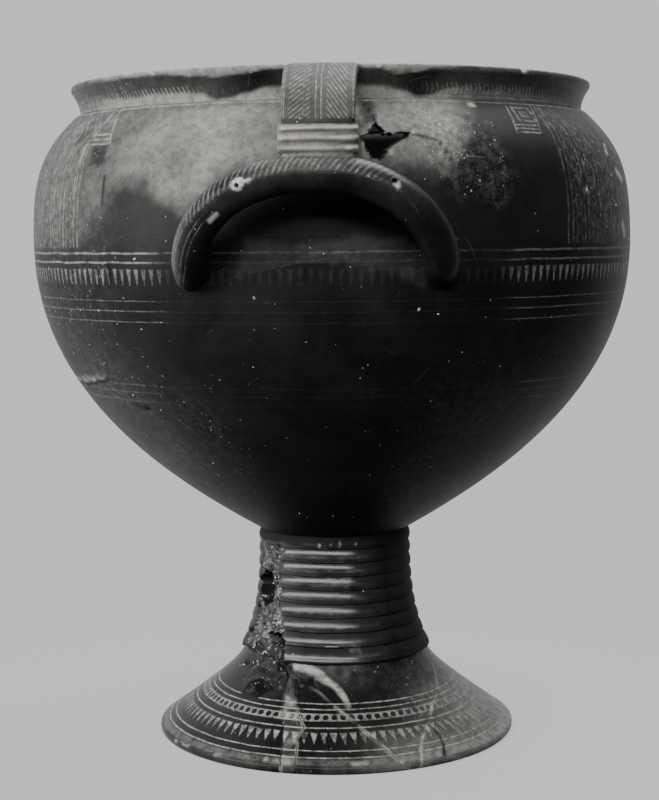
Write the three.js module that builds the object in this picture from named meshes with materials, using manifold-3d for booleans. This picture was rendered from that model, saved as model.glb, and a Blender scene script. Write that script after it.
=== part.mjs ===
// Footed krater in black-glossed pottery: a deep bowl on a ribbed pedestal, with two stirrup handles.
// Millimetres, +Z up, origin on the ground under the axis. The front handle points to -Y.
import * as THREE from 'three';
import { mergeVertices } from 'three/addons/utils/BufferGeometryUtils.js';
import Module from 'manifold-3d';

const wasm = await Module();
wasm.setup();

// Heights of the thrown sections, stacked from the ground
const FLARE_HEIGHT = 68;
const STEM_HEIGHT = 98;
const BOWL_DEPTH = 233;
const SHOULDER_HEIGHT = 97.4;
const COLLAR_HEIGHT = 23.6;

// Outer radii
const FOOT_RADIUS = 145;
const FLARE_TOP_RADIUS = 73.5;
const STEM_RADIUS = 61.8;
const STEM_FOOT_RADIUS = 77.5;
const BOWL_BASE_RADIUS = 60;
const BELLY_RADIUS = 238.2;
const NECK_RADIUS = 199;
const NECK_LEDGE = 4;
const LIP_FLARE = 7;

// Walls
const FLARE_WALL = 9;
const STEM_WALL = 11;
const BOWL_WALL = 9;
const BOWL_FLOOR = 13;
const COLLAR_WALL = 8;

// Foot ring: a rounded edge above the band that it stands on
const FOOT_EDGE_HEIGHT = 7;
const FOOT_EDGE_LOW = 2.8;
const FOOT_EDGE_HIGH = 4.9;
const FOOT_EDGE_ROUND = 2.2;
const FOOT_RING_WIDTH = 11;
const FOOT_RING_HEIGHT = 3.5;

// Curves: how far each profile keeps its end direction, and that direction's slope in degrees
const FLARE_RUN = 62;
const FLARE_SLOPE = 36;
const FLARE_TOP_RUN = 16;
const FLARE_TOP_SLOPE = 66;
const BOWL_BASE_RUN = 92;
const BOWL_BASE_SLOPE = 30;
const BOWL_BELLY_RUN = 118;
const SHOULDER_BELLY_RUN = 56;
const SHOULDER_TOP_RUN = 36;
const SHOULDER_TOP_SLOPE = 44;

// Ribs of the stem
const RIB_COUNT = 9;
const RIB_DEPTH = 2;
const RIB_SKEW = 0.72;
const RIB_FULLNESS = 0.8;
const STEM_SPREAD = 3.1;
const STEM_BORE_TAPER = 29.4;

// Collar and lip: where the collar starts to flare, its upright edge, and the flat on top
const COLLAR_BEND_HEIGHT = 10.6;
const COLLAR_THROAT_DROP = 8.3;
const LIP_EDGE_HEIGHT = 4;
const LIP_EDGE_ROUND = 1.6;
const LIP_TOP_WIDTH = 6.5;

// Handle loop: a round bar bent to an arch, its roots sunk in the wall below the belly
const HANDLE_FOOT_DROP = 25;
const HANDLE_RISE = 69;
const HANDLE_HALF_SPAN = 86.3;
const HANDLE_SQUARENESS = 2.15;
const HANDLE_STANDOFF = 34;
const HANDLE_LEAN = 2.2;
const HANDLE_ROOT_DEPTH = 15;
const HANDLE_ROOT_HEIGHT = 14;
const HANDLE_BAR_RADIUS = 12.5;

// Mend holes drilled through the front loop on either side of its crown
const MEND_HOLE_RADIUS = 1.7;
const MEND_HOLE_OFFSET = 50.5;
const MEND_HOLE_RISE = 4;

// Strap from the crown of the loop to the lip, a little to one side, with a ridged foot
const STRAP_TOP_WIDTH = 50;
const STRAP_FOOT_WIDTH = 48;
const STRAP_THICKNESS = 10;
const STRAP_OFFSET = 4.5;
const RIDGE_COUNT = 3;
const RIDGE_PITCH = 6.4;
const RIDGE_PROUD = 2.8;
const RIDGE_WIDTH = 53;

// Gap left between pieces that are cut to fit one another
const SEAT_GAP = 0.3;

// Broken-out hole in the shoulder, right of the front strap: corners across and above its middle
const SHOULDER_HOLE_AZIMUTH = 12;
const SHOULDER_HOLE_DROP = 30;
const SHOULDER_HOLE = [
  [-16, 1.5], [-12, 4.3], [-5, 11.5], [-3, 7], [1.6, 5.5], [9.4, 6],
  [17.6, 5.5], [0.8, -5.7], [-5.2, -11.5], [-9.7, -9.6], [-15, -2.4],
];

// Two pieces lost from the stem: corners across and above the middle of each
const STEM_HOLE_HIGH_AZIMUTH = -56;
const STEM_HOLE_HIGH_RISE = 54;
const STEM_HOLE_HIGH = [[-9, 10], [7, 13], [10, 6], [8.5, -2], [7.5, -12.5], [-6, -12.5], [-12, -5.5]];
const STEM_HOLE_LOW_AZIMUTH = -38;
const STEM_HOLE_LOW_RISE = 11;
const STEM_HOLE_LOW = [[-13.5, 7.5], [-0.5, 9], [11, 5], [14, -1], [9.5, -6.5], [-3, -7.5], [-10, -2]];

// Breaks of the flared foot: azimuth in degrees at shares of the flare's height, from the ground up
const BREAK_LONG = [[0, 25], [0.16, 20.5], [0.27, 17.5], [0.47, 9], [0.69, -4.5], [0.84, -18.5], [1, -34]];
const BREAK_FILL_LEFT = [[0, -14], [0.22, -15.5], [0.46, -19], [0.7, -24], [0.85, -25.5], [1, -37]];
const BREAK_FILL_RIGHT = [[0, -9.5], [0.32, -11.5], [0.41, -10], [0.59, -16], [0.75, -21.5], [1, -23]];
const BREAK_RIGHT = [[0, 28], [0.18, 30.5], [0.31, 35.5], [0.52, 49], [0.63, 60], [0.79, 76], [1, 88]];
const WEDGE_TOP_SHARE = 0.82;

// How far a cutting block stands past what it cuts, and how deep it starts inside the wall
const OVERCUT = 5;
const CUTTER_DEPTH = 30;

// Widest step of a block between two breaks, in degrees
const BREAK_COLUMN = 12;

// Smoothness of the model
const BODY_SIDES = 52;
const STEM_SIDES = 36;
const RIB_STEPS = 4;
const BAR_SIDES = 10;
const LOOP_STEPS = 32;
const FLARE_STEPS = 6;
const BOWL_STEPS = 10;
const SHOULDER_STEPS = 7;
const COLLAR_STEPS = 3;
const STRAP_STEPS = 8;
const MEND_HOLE_SIDES = 8;

// Levels that follow from the stacked heights
const STEM_BASE = FLARE_HEIGHT;
const BOWL_BASE = STEM_BASE + STEM_HEIGHT;
const BELLY = BOWL_BASE + BOWL_DEPTH;
const NECK = BELLY + SHOULDER_HEIGHT;
const LIP = NECK + COLLAR_HEIGHT;

// Radii that follow from the neck
const SHOULDER_TOP_RADIUS = NECK_RADIUS + NECK_LEDGE;
const LIP_RADIUS = NECK_RADIUS + LIP_FLARE;

const radians = THREE.MathUtils.degToRad;

function finish(color, roughness) {
  return new THREE.MeshStandardMaterial({ color, roughness, metalness: 0 });
}
const blackGloss = finish(0x1f1d1b, 0.38);
const plaster = finish(0xb8b2a6, 0.9);

// Outline helpers: points are [radius, height] pairs as Vector2, from the bottom up

function profileCurve(start, startSlope, startRun, end, endSlope, endRun, steps) {
  const away = new THREE.Vector2(Math.cos(startSlope), Math.sin(startSlope)).multiplyScalar(startRun);
  const into = new THREE.Vector2(Math.cos(endSlope), Math.sin(endSlope)).multiplyScalar(endRun);
  const curve = new THREE.CubicBezierCurve(start, start.clone().add(away), end.clone().sub(into), end);
  return curve.getPoints(steps);
}

// Moves an outline square to itself, to the side of the axis when the distance is positive
function offsetOutline(points, distance) {
  return points.map((point, i) => {
    const before = points[Math.max(i - 1, 0)];
    const after = points[Math.min(i + 1, points.length - 1)];
    const along = after.clone().sub(before).normalize();
    return new THREE.Vector2(point.x - along.y * distance, point.y + along.x * distance);
  });
}

function radiusAt(points, height) {
  let i = 1;
  while (i < points.length - 1 && points[i].y < height) i += 1;
  const [low, high] = [points[i - 1], points[i]];
  return THREE.MathUtils.mapLinear(height, low.y, high.y, low.x, high.x);
}

// Cuts an outline off square at two levels
function trimOutline(points, bottom, top) {
  const kept = points.filter((point) => point.y > bottom + 0.5 && point.y < top - 0.5);
  const low = new THREE.Vector2(radiusAt(points, bottom), bottom);
  const high = new THREE.Vector2(radiusAt(points, top), top);
  return [low, ...kept, high];
}

// Solid helpers

function toSolid(geometry) {
  geometry.deleteAttribute('normal');
  geometry.deleteAttribute('uv');
  const merged = mergeVertices(geometry, 1e-4);
  const corners = Array.from(merged.index.array);
  const triangles = [];
  for (let i = 0; i < corners.length; i += 3) {
    const [a, b, c] = corners.slice(i, i + 3);
    if (a !== b && b !== c && c !== a) triangles.push(a, b, c);
  }
  return new wasm.Manifold(new wasm.Mesh({
    numProp: 3,
    vertProperties: Float32Array.from(merged.attributes.position.array),
    triVerts: Uint32Array.from(triangles),
  }));
}

function toGeometry(solid) {
  const mesh = solid.getMesh();
  const geometry = new THREE.BufferGeometry();
  geometry.setAttribute('position', new THREE.BufferAttribute(mesh.vertProperties, 3));
  geometry.setIndex(new THREE.BufferAttribute(mesh.triVerts, 1));
  geometry.computeVertexNormals();
  return geometry;
}

function piece(name, solid, material) {
  const mesh = new THREE.Mesh(toGeometry(solid), material);
  mesh.name = name;
  return mesh;
}

// Turns an outline round the Z axis. Azimuth 0 is -Y and grows towards +X.
function turned(outline, sides) {
  const geometry = new THREE.LatheGeometry(outline, sides);
  geometry.rotateX(Math.PI / 2);
  return toSolid(geometry);
}

// Outer outlines of the thrown sections

function flareOutline() {
  const edgeTop = new THREE.Vector2(FOOT_RADIUS - FOOT_EDGE_ROUND, FOOT_EDGE_HEIGHT);
  const slope = profileCurve(
    edgeTop, Math.PI - radians(FLARE_SLOPE), FLARE_RUN,
    new THREE.Vector2(FLARE_TOP_RADIUS, FLARE_HEIGHT), Math.PI - radians(FLARE_TOP_SLOPE), FLARE_TOP_RUN, FLARE_STEPS,
  );
  return [
    new THREE.Vector2(FOOT_RADIUS - FOOT_EDGE_ROUND, 0),
    new THREE.Vector2(FOOT_RADIUS, FOOT_EDGE_LOW),
    new THREE.Vector2(FOOT_RADIUS, FOOT_EDGE_HIGH),
    ...slope,
  ];
}

function stemOutline() {
  const pitch = STEM_HEIGHT / RIB_COUNT;
  const points = [];
  for (let rib = 0; rib < RIB_COUNT; rib += 1) {
    for (let step = 0; step <= RIB_STEPS; step += 1) {
      const across = step / RIB_STEPS;
      const height = STEM_BASE + (rib + across) * pitch;
      const spread = (1 - (height - STEM_BASE) / STEM_HEIGHT) ** STEM_SPREAD;
      const crest = STEM_RADIUS + (STEM_FOOT_RADIUS - STEM_RADIUS) * spread;
      const swell = Math.sin(Math.PI * across ** RIB_SKEW);
      // The lowest rib keeps a sharp edge over the flare, and ribs share their grooves
      const depth = rib === 0 && step === 0 ? 0 : RIB_DEPTH * (1 - Math.max(swell, 0) ** RIB_FULLNESS);
      if (rib === 0 || step > 0) points.push(new THREE.Vector2(crest - depth, height));
    }
  }
  return points;
}

function bowlOutline() {
  return profileCurve(
    new THREE.Vector2(BOWL_BASE_RADIUS, BOWL_BASE), radians(BOWL_BASE_SLOPE), BOWL_BASE_RUN,
    new THREE.Vector2(BELLY_RADIUS, BELLY), Math.PI / 2, BOWL_BELLY_RUN, BOWL_STEPS,
  );
}

function shoulderOutline() {
  return profileCurve(
    new THREE.Vector2(BELLY_RADIUS, BELLY), Math.PI / 2, SHOULDER_BELLY_RUN,
    new THREE.Vector2(SHOULDER_TOP_RADIUS, NECK), Math.PI - radians(SHOULDER_TOP_SLOPE), SHOULDER_TOP_RUN,
    SHOULDER_STEPS,
  );
}

function collarOutline() {
  const flare = new THREE.QuadraticBezierCurve(
    new THREE.Vector2(NECK_RADIUS, NECK),
    new THREE.Vector2(NECK_RADIUS, NECK + COLLAR_BEND_HEIGHT),
    new THREE.Vector2(LIP_RADIUS, LIP - LIP_EDGE_HEIGHT),
  );
  return [
    ...flare.getPoints(COLLAR_STEPS),
    new THREE.Vector2(LIP_RADIUS, LIP - LIP_EDGE_ROUND),
    new THREE.Vector2(LIP_RADIUS - LIP_EDGE_ROUND, LIP),
  ];
}

const bowl = bowlOutline();
const shoulder = shoulderOutline();
const collar = collarOutline();
const bodyOutline = [...bowl, ...shoulder.slice(1), ...collar];

function closed(points) {
  return [...points, points[0].clone()];
}

// The full outside of bowl, shoulder and collar, a little larger, to seat what is set against them
function bodyCutter() {
  const grown = offsetOutline(bodyOutline, -SEAT_GAP);
  const axisLow = new THREE.Vector2(0, grown[0].y);
  const axisHigh = new THREE.Vector2(0, grown[grown.length - 1].y);
  return turned([axisLow, ...grown, axisHigh], BODY_SIDES);
}

// A straight prism through a wall, on a list of corners, square to the azimuth that it faces
function wallPrism(corners, azimuth, height, nearRadius, farRadius) {
  const shape = new THREE.Shape(corners.map(([across, up]) => new THREE.Vector2(across, up)));
  const geometry = new THREE.ExtrudeGeometry(shape, {
    depth: farRadius - nearRadius, bevelEnabled: false, steps: 1,
  });
  geometry.translate(0, 0, nearRadius);
  geometry.rotateX(Math.PI / 2);
  geometry.rotateZ(radians(azimuth));
  geometry.translate(0, 0, height);
  return toSolid(geometry);
}

// Pedestal

const wedgeTop = FLARE_HEIGHT * WEDGE_TOP_SHARE;

function breakAzimuth(line, height) {
  const share = height / FLARE_HEIGHT;
  let i = 1;
  while (i < line.length - 1 && line[i][0] < share) i += 1;
  const [low, high] = [line[i - 1], line[i]];
  return THREE.MathUtils.mapLinear(share, low[0], high[0], low[1], high[1]);
}

// Every piece of the foot is faceted at the same heights, so that neighbours match along a break
const breakLevels = [...new Set([
  ...[BREAK_LONG, BREAK_FILL_LEFT, BREAK_FILL_RIGHT, BREAK_RIGHT].flat().map(([share]) => share * FLARE_HEIGHT),
  wedgeTop - SEAT_GAP / 2, wedgeTop + SEAT_GAP / 2,
])].sort((a, b) => a - b);

// The part of the foot between two breaks, as a block from inside the foot to outside it.
// Each side stands half a gap back from its break.
function betweenBreaks(left, right, bottom, top) {
  const levels = [bottom, ...breakLevels.filter((height) => height > bottom && height < top), top];
  const radii = [FLARE_TOP_RADIUS - CUTTER_DEPTH, FOOT_RADIUS + CUTTER_DEPTH];
  const widest = Math.max(...levels.map((z) => breakAzimuth(right, z) - breakAzimuth(left, z)));
  const columns = Math.max(1, Math.ceil(widest / BREAK_COLUMN));
  const positions = [];
  for (const radius of radii) {
    const back = THREE.MathUtils.radToDeg((SEAT_GAP / 2) / radius);
    for (const height of levels) {
      const from = breakAzimuth(left, height) + back;
      const to = breakAzimuth(right, height) - back;
      for (let column = 0; column <= columns; column += 1) {
        const azimuth = radians(from + (to - from) * (column / columns));
        positions.push(radius * Math.sin(azimuth), -radius * Math.cos(azimuth), height);
      }
    }
  }
  const perLevel = columns + 1;
  const perRadius = perLevel * levels.length;
  const at = (side, level, column) => side * perRadius + level * perLevel + column;
  const triangles = [];
  const quad = (a, b, c, d) => triangles.push(a, b, c, a, c, d);
  for (let level = 0; level < levels.length - 1; level += 1) {
    for (let column = 0; column < columns; column += 1) {
      quad(at(1, level, column), at(1, level, column + 1), at(1, level + 1, column + 1), at(1, level + 1, column));
      quad(at(0, level, column + 1), at(0, level, column), at(0, level + 1, column), at(0, level + 1, column + 1));
    }
    quad(at(0, level, 0), at(1, level, 0), at(1, level + 1, 0), at(0, level + 1, 0));
    quad(at(0, level, columns), at(0, level + 1, columns), at(1, level + 1, columns), at(1, level, columns));
  }
  const last = levels.length - 1;
  for (let column = 0; column < columns; column += 1) {
    quad(at(0, 0, column), at(0, 0, column + 1), at(1, 0, column + 1), at(1, 0, column));
    quad(at(0, last, column + 1), at(0, last, column), at(1, last, column), at(1, last, column + 1));
  }
  const geometry = new THREE.BufferGeometry();
  geometry.setAttribute('position', new THREE.Float32BufferAttribute(positions, 3));
  geometry.setIndex(triangles);
  return toSolid(geometry);
}

function flareShell() {
  const outer = flareOutline();
  const slope = outer.slice(3);
  const inner = trimOutline(offsetOutline(slope, FLARE_WALL), FOOT_RING_HEIGHT, FLARE_HEIGHT);
  const ringInside = new THREE.Vector2(FOOT_RADIUS - FOOT_EDGE_ROUND - FOOT_RING_WIDTH, 0);
  return turned(closed([ringInside, ...outer, ...inner.reverse()]), BODY_SIDES);
}

function pedestal() {
  const shell = flareShell();
  const aroundBack = BREAK_FILL_LEFT.map(([share, azimuth]) => [share, azimuth + 360]);
  const fillRight = [
    ...BREAK_FILL_RIGHT.filter(([share]) => share < WEDGE_TOP_SHARE),
    [(wedgeTop - SEAT_GAP / 2) / FLARE_HEIGHT, breakAzimuth(BREAK_FILL_RIGHT, wedgeTop)],
    [(wedgeTop + SEAT_GAP / 2) / FLARE_HEIGHT, breakAzimuth(BREAK_LONG, wedgeTop)],
    ...BREAK_LONG.filter(([share]) => share > WEDGE_TOP_SHARE),
  ];
  const above = FLARE_HEIGHT + OVERCUT;
  const below = -OVERCUT;
  const main = shell.intersect(betweenBreaks(BREAK_RIGHT, aroundBack, below, above));
  const rightSherd = shell.intersect(betweenBreaks(BREAK_LONG, BREAK_RIGHT, below, above));
  const wedge = shell.intersect(betweenBreaks(BREAK_FILL_RIGHT, BREAK_LONG, below, wedgeTop - SEAT_GAP));
  const fill = shell.intersect(betweenBreaks(BREAK_FILL_LEFT, fillRight, below, above));
  return [
    piece('foot_flare', main, blackGloss),
    piece('foot_sherd_right', rightSherd, blackGloss),
    piece('foot_sherd_centre', wedge, blackGloss),
    piece('foot_plaster_fill', fill, plaster),
  ];
}

function stem() {
  const outer = stemOutline();
  const insideLow = new THREE.Vector2(FLARE_TOP_RADIUS - STEM_WALL, STEM_BASE);
  const insideBend = new THREE.Vector2(STEM_RADIUS - STEM_WALL, STEM_BASE + STEM_BORE_TAPER);
  const insideHigh = new THREE.Vector2(STEM_RADIUS - STEM_WALL, BOWL_BASE);
  const body = turned(closed([insideLow, ...outer, insideHigh, insideBend]), STEM_SIDES);
  const [near, far] = [STEM_RADIUS - CUTTER_DEPTH, STEM_FOOT_RADIUS + CUTTER_DEPTH];
  const high = wallPrism(STEM_HOLE_HIGH, STEM_HOLE_HIGH_AZIMUTH, STEM_BASE + STEM_HOLE_HIGH_RISE, near, far);
  const low = wallPrism(STEM_HOLE_LOW, STEM_HOLE_LOW_AZIMUTH, STEM_BASE + STEM_HOLE_LOW_RISE, near, far);
  return piece('stem_ribbed', body.subtract(high).subtract(low), blackGloss);
}

// Bowl, shoulder and collar

function bowlShell() {
  const inner = trimOutline(offsetOutline(bowl, BOWL_WALL), BOWL_BASE + BOWL_FLOOR, BELLY);
  const axisLow = new THREE.Vector2(0, BOWL_BASE);
  const axisHigh = new THREE.Vector2(0, BOWL_BASE + BOWL_FLOOR);
  return piece('bowl_lower', turned([axisLow, ...bowl, ...inner.reverse(), axisHigh], BODY_SIDES), blackGloss);
}

function shoulderShell() {
  const inner = trimOutline(offsetOutline(shoulder, BOWL_WALL), BELLY, NECK);
  const wall = turned(closed([...shoulder, ...inner.reverse()]), BODY_SIDES);
  const hole = wallPrism(
    SHOULDER_HOLE, SHOULDER_HOLE_AZIMUTH, NECK - SHOULDER_HOLE_DROP,
    NECK_RADIUS - CUTTER_DEPTH, BELLY_RADIUS + CUTTER_DEPTH,
  );
  return piece('bowl_shoulder', wall.subtract(hole), blackGloss);
}

function collarRing() {
  const inner = [
    new THREE.Vector2(LIP_RADIUS - LIP_EDGE_ROUND - LIP_TOP_WIDTH, LIP),
    new THREE.Vector2(NECK_RADIUS - COLLAR_WALL, LIP - COLLAR_THROAT_DROP),
    new THREE.Vector2(NECK_RADIUS - COLLAR_WALL, NECK),
  ];
  return piece('rim_collar', turned(closed([...collar, ...inner]), BODY_SIDES), blackGloss);
}

// Handles

const loopFoot = BELLY - HANDLE_FOOT_DROP;
const crownHeight = loopFoot + HANDLE_RISE;
const crownRadius = radiusAt(bodyOutline, crownHeight) + HANDLE_STANDOFF;

// Centreline of the loop: a squared arch that leans away from the wall as it rises
class LoopPath extends THREE.Curve {
  getPoint(t, target = new THREE.Vector3()) {
    const turn = Math.PI * t;
    const power = 2 / HANDLE_SQUARENESS;
    const across = -Math.sign(Math.cos(turn)) * Math.abs(Math.cos(turn)) ** power;
    const rise = Math.max(Math.sin(turn), 0) ** power;
    const height = loopFoot + HANDLE_RISE * rise;
    const lean = 1 - (1 - rise) ** HANDLE_LEAN;
    const sunk = Math.max(0, 1 - (height - loopFoot) / HANDLE_ROOT_HEIGHT) ** 2;
    const standoff = HANDLE_STANDOFF * lean - HANDLE_ROOT_DEPTH * sunk;
    const radius = radiusAt(bodyOutline, height) + standoff;
    const x = HANDLE_HALF_SPAN * across;
    return target.set(x, -Math.sqrt(radius * radius - x * x), height);
  }
}

function loopBar(radius) {
  const section = new THREE.Shape();
  section.absarc(0, 0, radius, 0, 2 * Math.PI);
  const geometry = new THREE.ExtrudeGeometry(section, {
    extrudePath: new LoopPath(), steps: LOOP_STEPS, curveSegments: BAR_SIDES / 2,
  });
  return toSolid(geometry);
}

function mendHole(across) {
  const turn = Math.asin(across / crownRadius);
  const length = 2 * (HANDLE_BAR_RADIUS + CUTTER_DEPTH);
  const hole = new THREE.CylinderGeometry(MEND_HOLE_RADIUS, MEND_HOLE_RADIUS, length, MEND_HOLE_SIDES);
  const share = Math.abs(across / HANDLE_HALF_SPAN) ** HANDLE_SQUARENESS;
  hole.translate(0, -crownRadius, 0);
  hole.rotateZ(turn);
  const barHeight = loopFoot + HANDLE_RISE * (1 - share) ** (1 / HANDLE_SQUARENESS);
  hole.translate(0, 0, barHeight + MEND_HOLE_RISE);
  return toSolid(hole);
}

// Pushes a side view, drawn as radius and height, out to both sides of the strap's middle plane
function slab(shape, widthAt) {
  const geometry = new THREE.ExtrudeGeometry(shape, {
    depth: 1, bevelEnabled: false, steps: 1, curveSegments: STRAP_STEPS,
  });
  const place = geometry.attributes.position;
  for (let i = 0; i < place.count; i += 1) {
    const [radius, height, side] = [place.getX(i), place.getY(i), 0.5 - place.getZ(i)];
    place.setXYZ(i, STRAP_OFFSET + side * widthAt(height), -radius, height);
  }
  return toSolid(geometry);
}

const ridgeTop = crownHeight + HANDLE_BAR_RADIUS + RIDGE_COUNT * RIDGE_PITCH;
const strapOuter = crownRadius + STRAP_THICKNESS / 2;

function strapBand() {
  const reach = strapOuter - LIP_RADIUS;
  const climb = LIP - ridgeTop;
  const shape = new THREE.Shape();
  shape.moveTo(LIP_RADIUS - STRAP_THICKNESS, LIP);
  shape.lineTo(LIP_RADIUS, LIP);
  shape.absellipse(LIP_RADIUS, ridgeTop, reach, climb, Math.PI / 2, 0, true);
  shape.lineTo(strapOuter, crownHeight);
  shape.lineTo(strapOuter - STRAP_THICKNESS, crownHeight);
  shape.lineTo(strapOuter - STRAP_THICKNESS, ridgeTop);
  shape.absellipse(LIP_RADIUS, ridgeTop, reach - STRAP_THICKNESS, climb - STRAP_THICKNESS, 0, Math.PI / 2, false);
  shape.lineTo(LIP_RADIUS - STRAP_THICKNESS, LIP - STRAP_THICKNESS);
  shape.closePath();
  const widthAt = (height) => {
    const up = THREE.MathUtils.clamp((height - ridgeTop) / climb, 0, 1);
    return THREE.MathUtils.lerp(STRAP_FOOT_WIDTH, STRAP_TOP_WIDTH, up);
  };
  return slab(shape, widthAt);
}

function strapFoot() {
  const shape = new THREE.Shape();
  shape.moveTo(strapOuter - STRAP_THICKNESS - RIDGE_PROUD, crownHeight);
  shape.lineTo(strapOuter, crownHeight);
  shape.lineTo(strapOuter, ridgeTop - RIDGE_COUNT * RIDGE_PITCH);
  for (let ridge = RIDGE_COUNT; ridge > 0; ridge -= 1) {
    const middle = ridgeTop - (ridge - 0.5) * RIDGE_PITCH;
    shape.absellipse(strapOuter, middle, RIDGE_PROUD, RIDGE_PITCH / 2, -Math.PI / 2, Math.PI / 2, false);
  }
  shape.lineTo(strapOuter - STRAP_THICKNESS - RIDGE_PROUD, ridgeTop);
  shape.closePath();
  return slab(shape, () => RIDGE_WIDTH);
}

function handle(side, mended) {
  const seat = bodyCutter();
  let loop = loopBar(HANDLE_BAR_RADIUS).subtract(seat);
  if (mended) {
    for (const across of [-MEND_HOLE_OFFSET, MEND_HOLE_OFFSET]) loop = loop.subtract(mendHole(across));
  }
  const strap = strapBand().add(strapFoot()).subtract(seat).subtract(loopBar(HANDLE_BAR_RADIUS + SEAT_GAP));
  const group = new THREE.Group();
  group.add(piece(`handle_loop_${side}`, loop, blackGloss));
  group.add(piece(`handle_strap_${side}`, strap, blackGloss));
  return group;
}

const krater = new THREE.Group();
krater.add(...pedestal(), stem(), bowlShell(), shoulderShell(), collarRing());
krater.add(handle('front', true));
const backHandle = handle('back', false);
backHandle.rotation.z = Math.PI;
krater.add(backHandle);

export default krater;
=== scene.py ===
"""Looks of a footed krater in black-glossed pottery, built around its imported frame.

Metres, +Z up, ground at 0. Azimuth 0 faces -Y, where the front handle is, and grows towards +X.
Patterns, wear and breaks are laid out in degrees and millimetres, as (azimuth, height) places on the
wall, the way a potter's drawing gives them.
"""
import itertools
import math

import bmesh
import bpy
import numpy as np
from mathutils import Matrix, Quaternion, Vector, noise


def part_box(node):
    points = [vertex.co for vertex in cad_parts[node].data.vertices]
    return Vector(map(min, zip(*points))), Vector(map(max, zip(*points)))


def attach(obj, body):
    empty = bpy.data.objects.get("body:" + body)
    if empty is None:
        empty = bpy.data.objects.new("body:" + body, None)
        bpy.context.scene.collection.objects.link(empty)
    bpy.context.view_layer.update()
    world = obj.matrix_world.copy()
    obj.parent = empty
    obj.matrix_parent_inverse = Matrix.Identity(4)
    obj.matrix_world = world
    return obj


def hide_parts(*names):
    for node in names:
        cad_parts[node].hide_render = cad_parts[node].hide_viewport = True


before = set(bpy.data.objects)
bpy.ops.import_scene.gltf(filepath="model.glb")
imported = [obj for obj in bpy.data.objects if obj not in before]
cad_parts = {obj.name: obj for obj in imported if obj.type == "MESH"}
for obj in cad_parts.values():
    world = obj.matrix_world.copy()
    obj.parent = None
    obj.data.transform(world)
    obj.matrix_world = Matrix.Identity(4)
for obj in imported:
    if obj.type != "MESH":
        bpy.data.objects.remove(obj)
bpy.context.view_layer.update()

MM = 0.001

# Levels and radii of the thrown sections, from the frame
STEM_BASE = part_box("stem_ribbed")[0].z
BOWL_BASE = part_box("bowl_lower")[0].z
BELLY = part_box("bowl_shoulder")[0].z
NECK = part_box("rim_collar")[0].z
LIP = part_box("rim_collar")[1].z
BELLY_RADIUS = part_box("bowl_lower")[1].x
LIP_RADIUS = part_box("rim_collar")[1].x
FOOT_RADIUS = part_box("foot_flare")[1].y

# Radii and walls that no box gives
FLARE_TOP_RADIUS = 73.5 * MM
STEM_RADIUS = 61.8 * MM
STEM_FOOT_RADIUS = 77.5 * MM
BOWL_BASE_RADIUS = 60 * MM
SHOULDER_TOP_RADIUS = 203 * MM
NECK_RADIUS = 199 * MM
WALL = 9 * MM
STEM_WALL = 11 * MM
BOWL_FLOOR = 13 * MM
FOOT_EDGE_HEIGHT = 7 * MM
FOOT_EDGE_ROUND = 2.2 * MM
FOOT_RING_WIDTH = 11 * MM
LIP_EDGE_HEIGHT = 4 * MM
LIP_EDGE_ROUND = 1.6 * MM
LIP_TOP_WIDTH = 6.5 * MM
COLLAR_WALL = 8 * MM
COLLAR_BEND_HEIGHT = 10.6 * MM
COLLAR_THROAT_DROP = 8.3 * MM

# Curves of the thrown walls: slopes in degrees, runs towards the next point
BOWL_FLOOR_SLOPE, BOWL_FLOOR_RUN, BOWL_BELLY_RUN = 30, 92 * MM, 118 * MM
SHOULDER_SLOPE, SHOULDER_BELLY_RUN, SHOULDER_TOP_RUN = 44, 56 * MM, 36 * MM
FLARE_EDGE_SLOPE, FLARE_EDGE_RUN = 36, 62 * MM
FLARE_TOP_SLOPE, FLARE_TOP_RUN = 66, 16 * MM

# Ribs of the stem
RIB_COUNT = 9
RIB_DEPTH = 2 * MM
RIB_SKEW = 0.72
RIB_FULLNESS = 0.8
RIB_FILLET = 0.35 * MM
RIB_FILLET_PLACE = 0.14
STEM_SPREAD = 3.1
BORE_TAPER = 29.4 * MM

# Handles
HANDLE_FOOT_DROP = 25 * MM
HANDLE_RISE = 69 * MM
HANDLE_HALF_SPAN = 86.3 * MM
HANDLE_SQUARENESS = 2.15
HANDLE_STANDOFF = 34 * MM
HANDLE_LEAN = 2.2
HANDLE_ROOT_DEPTH = 15 * MM
HANDLE_ROOT_HEIGHT = 14 * MM
BAR_RADIUS = 12.5 * MM
BAR_ROOT_SWELL = 0.22
STRAP_THICKNESS = 10 * MM
STRAP_TOP_WIDTH = 50 * MM
STRAP_FOOT_WIDTH = 48 * MM
STRAP_OFFSET = 4.5 * MM
RIDGE_COUNT = 3
RIDGE_PITCH = 6.4 * MM
RIDGE_PROUD = 2.8 * MM
RIDGE_WIDTH = 53 * MM
MEND_HOLES = ((-46.4 * MM, 1.8 * MM), (51.8 * MM, 6.5 * MM))
MEND_HOLE_RADIUS = 1.7 * MM

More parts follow.
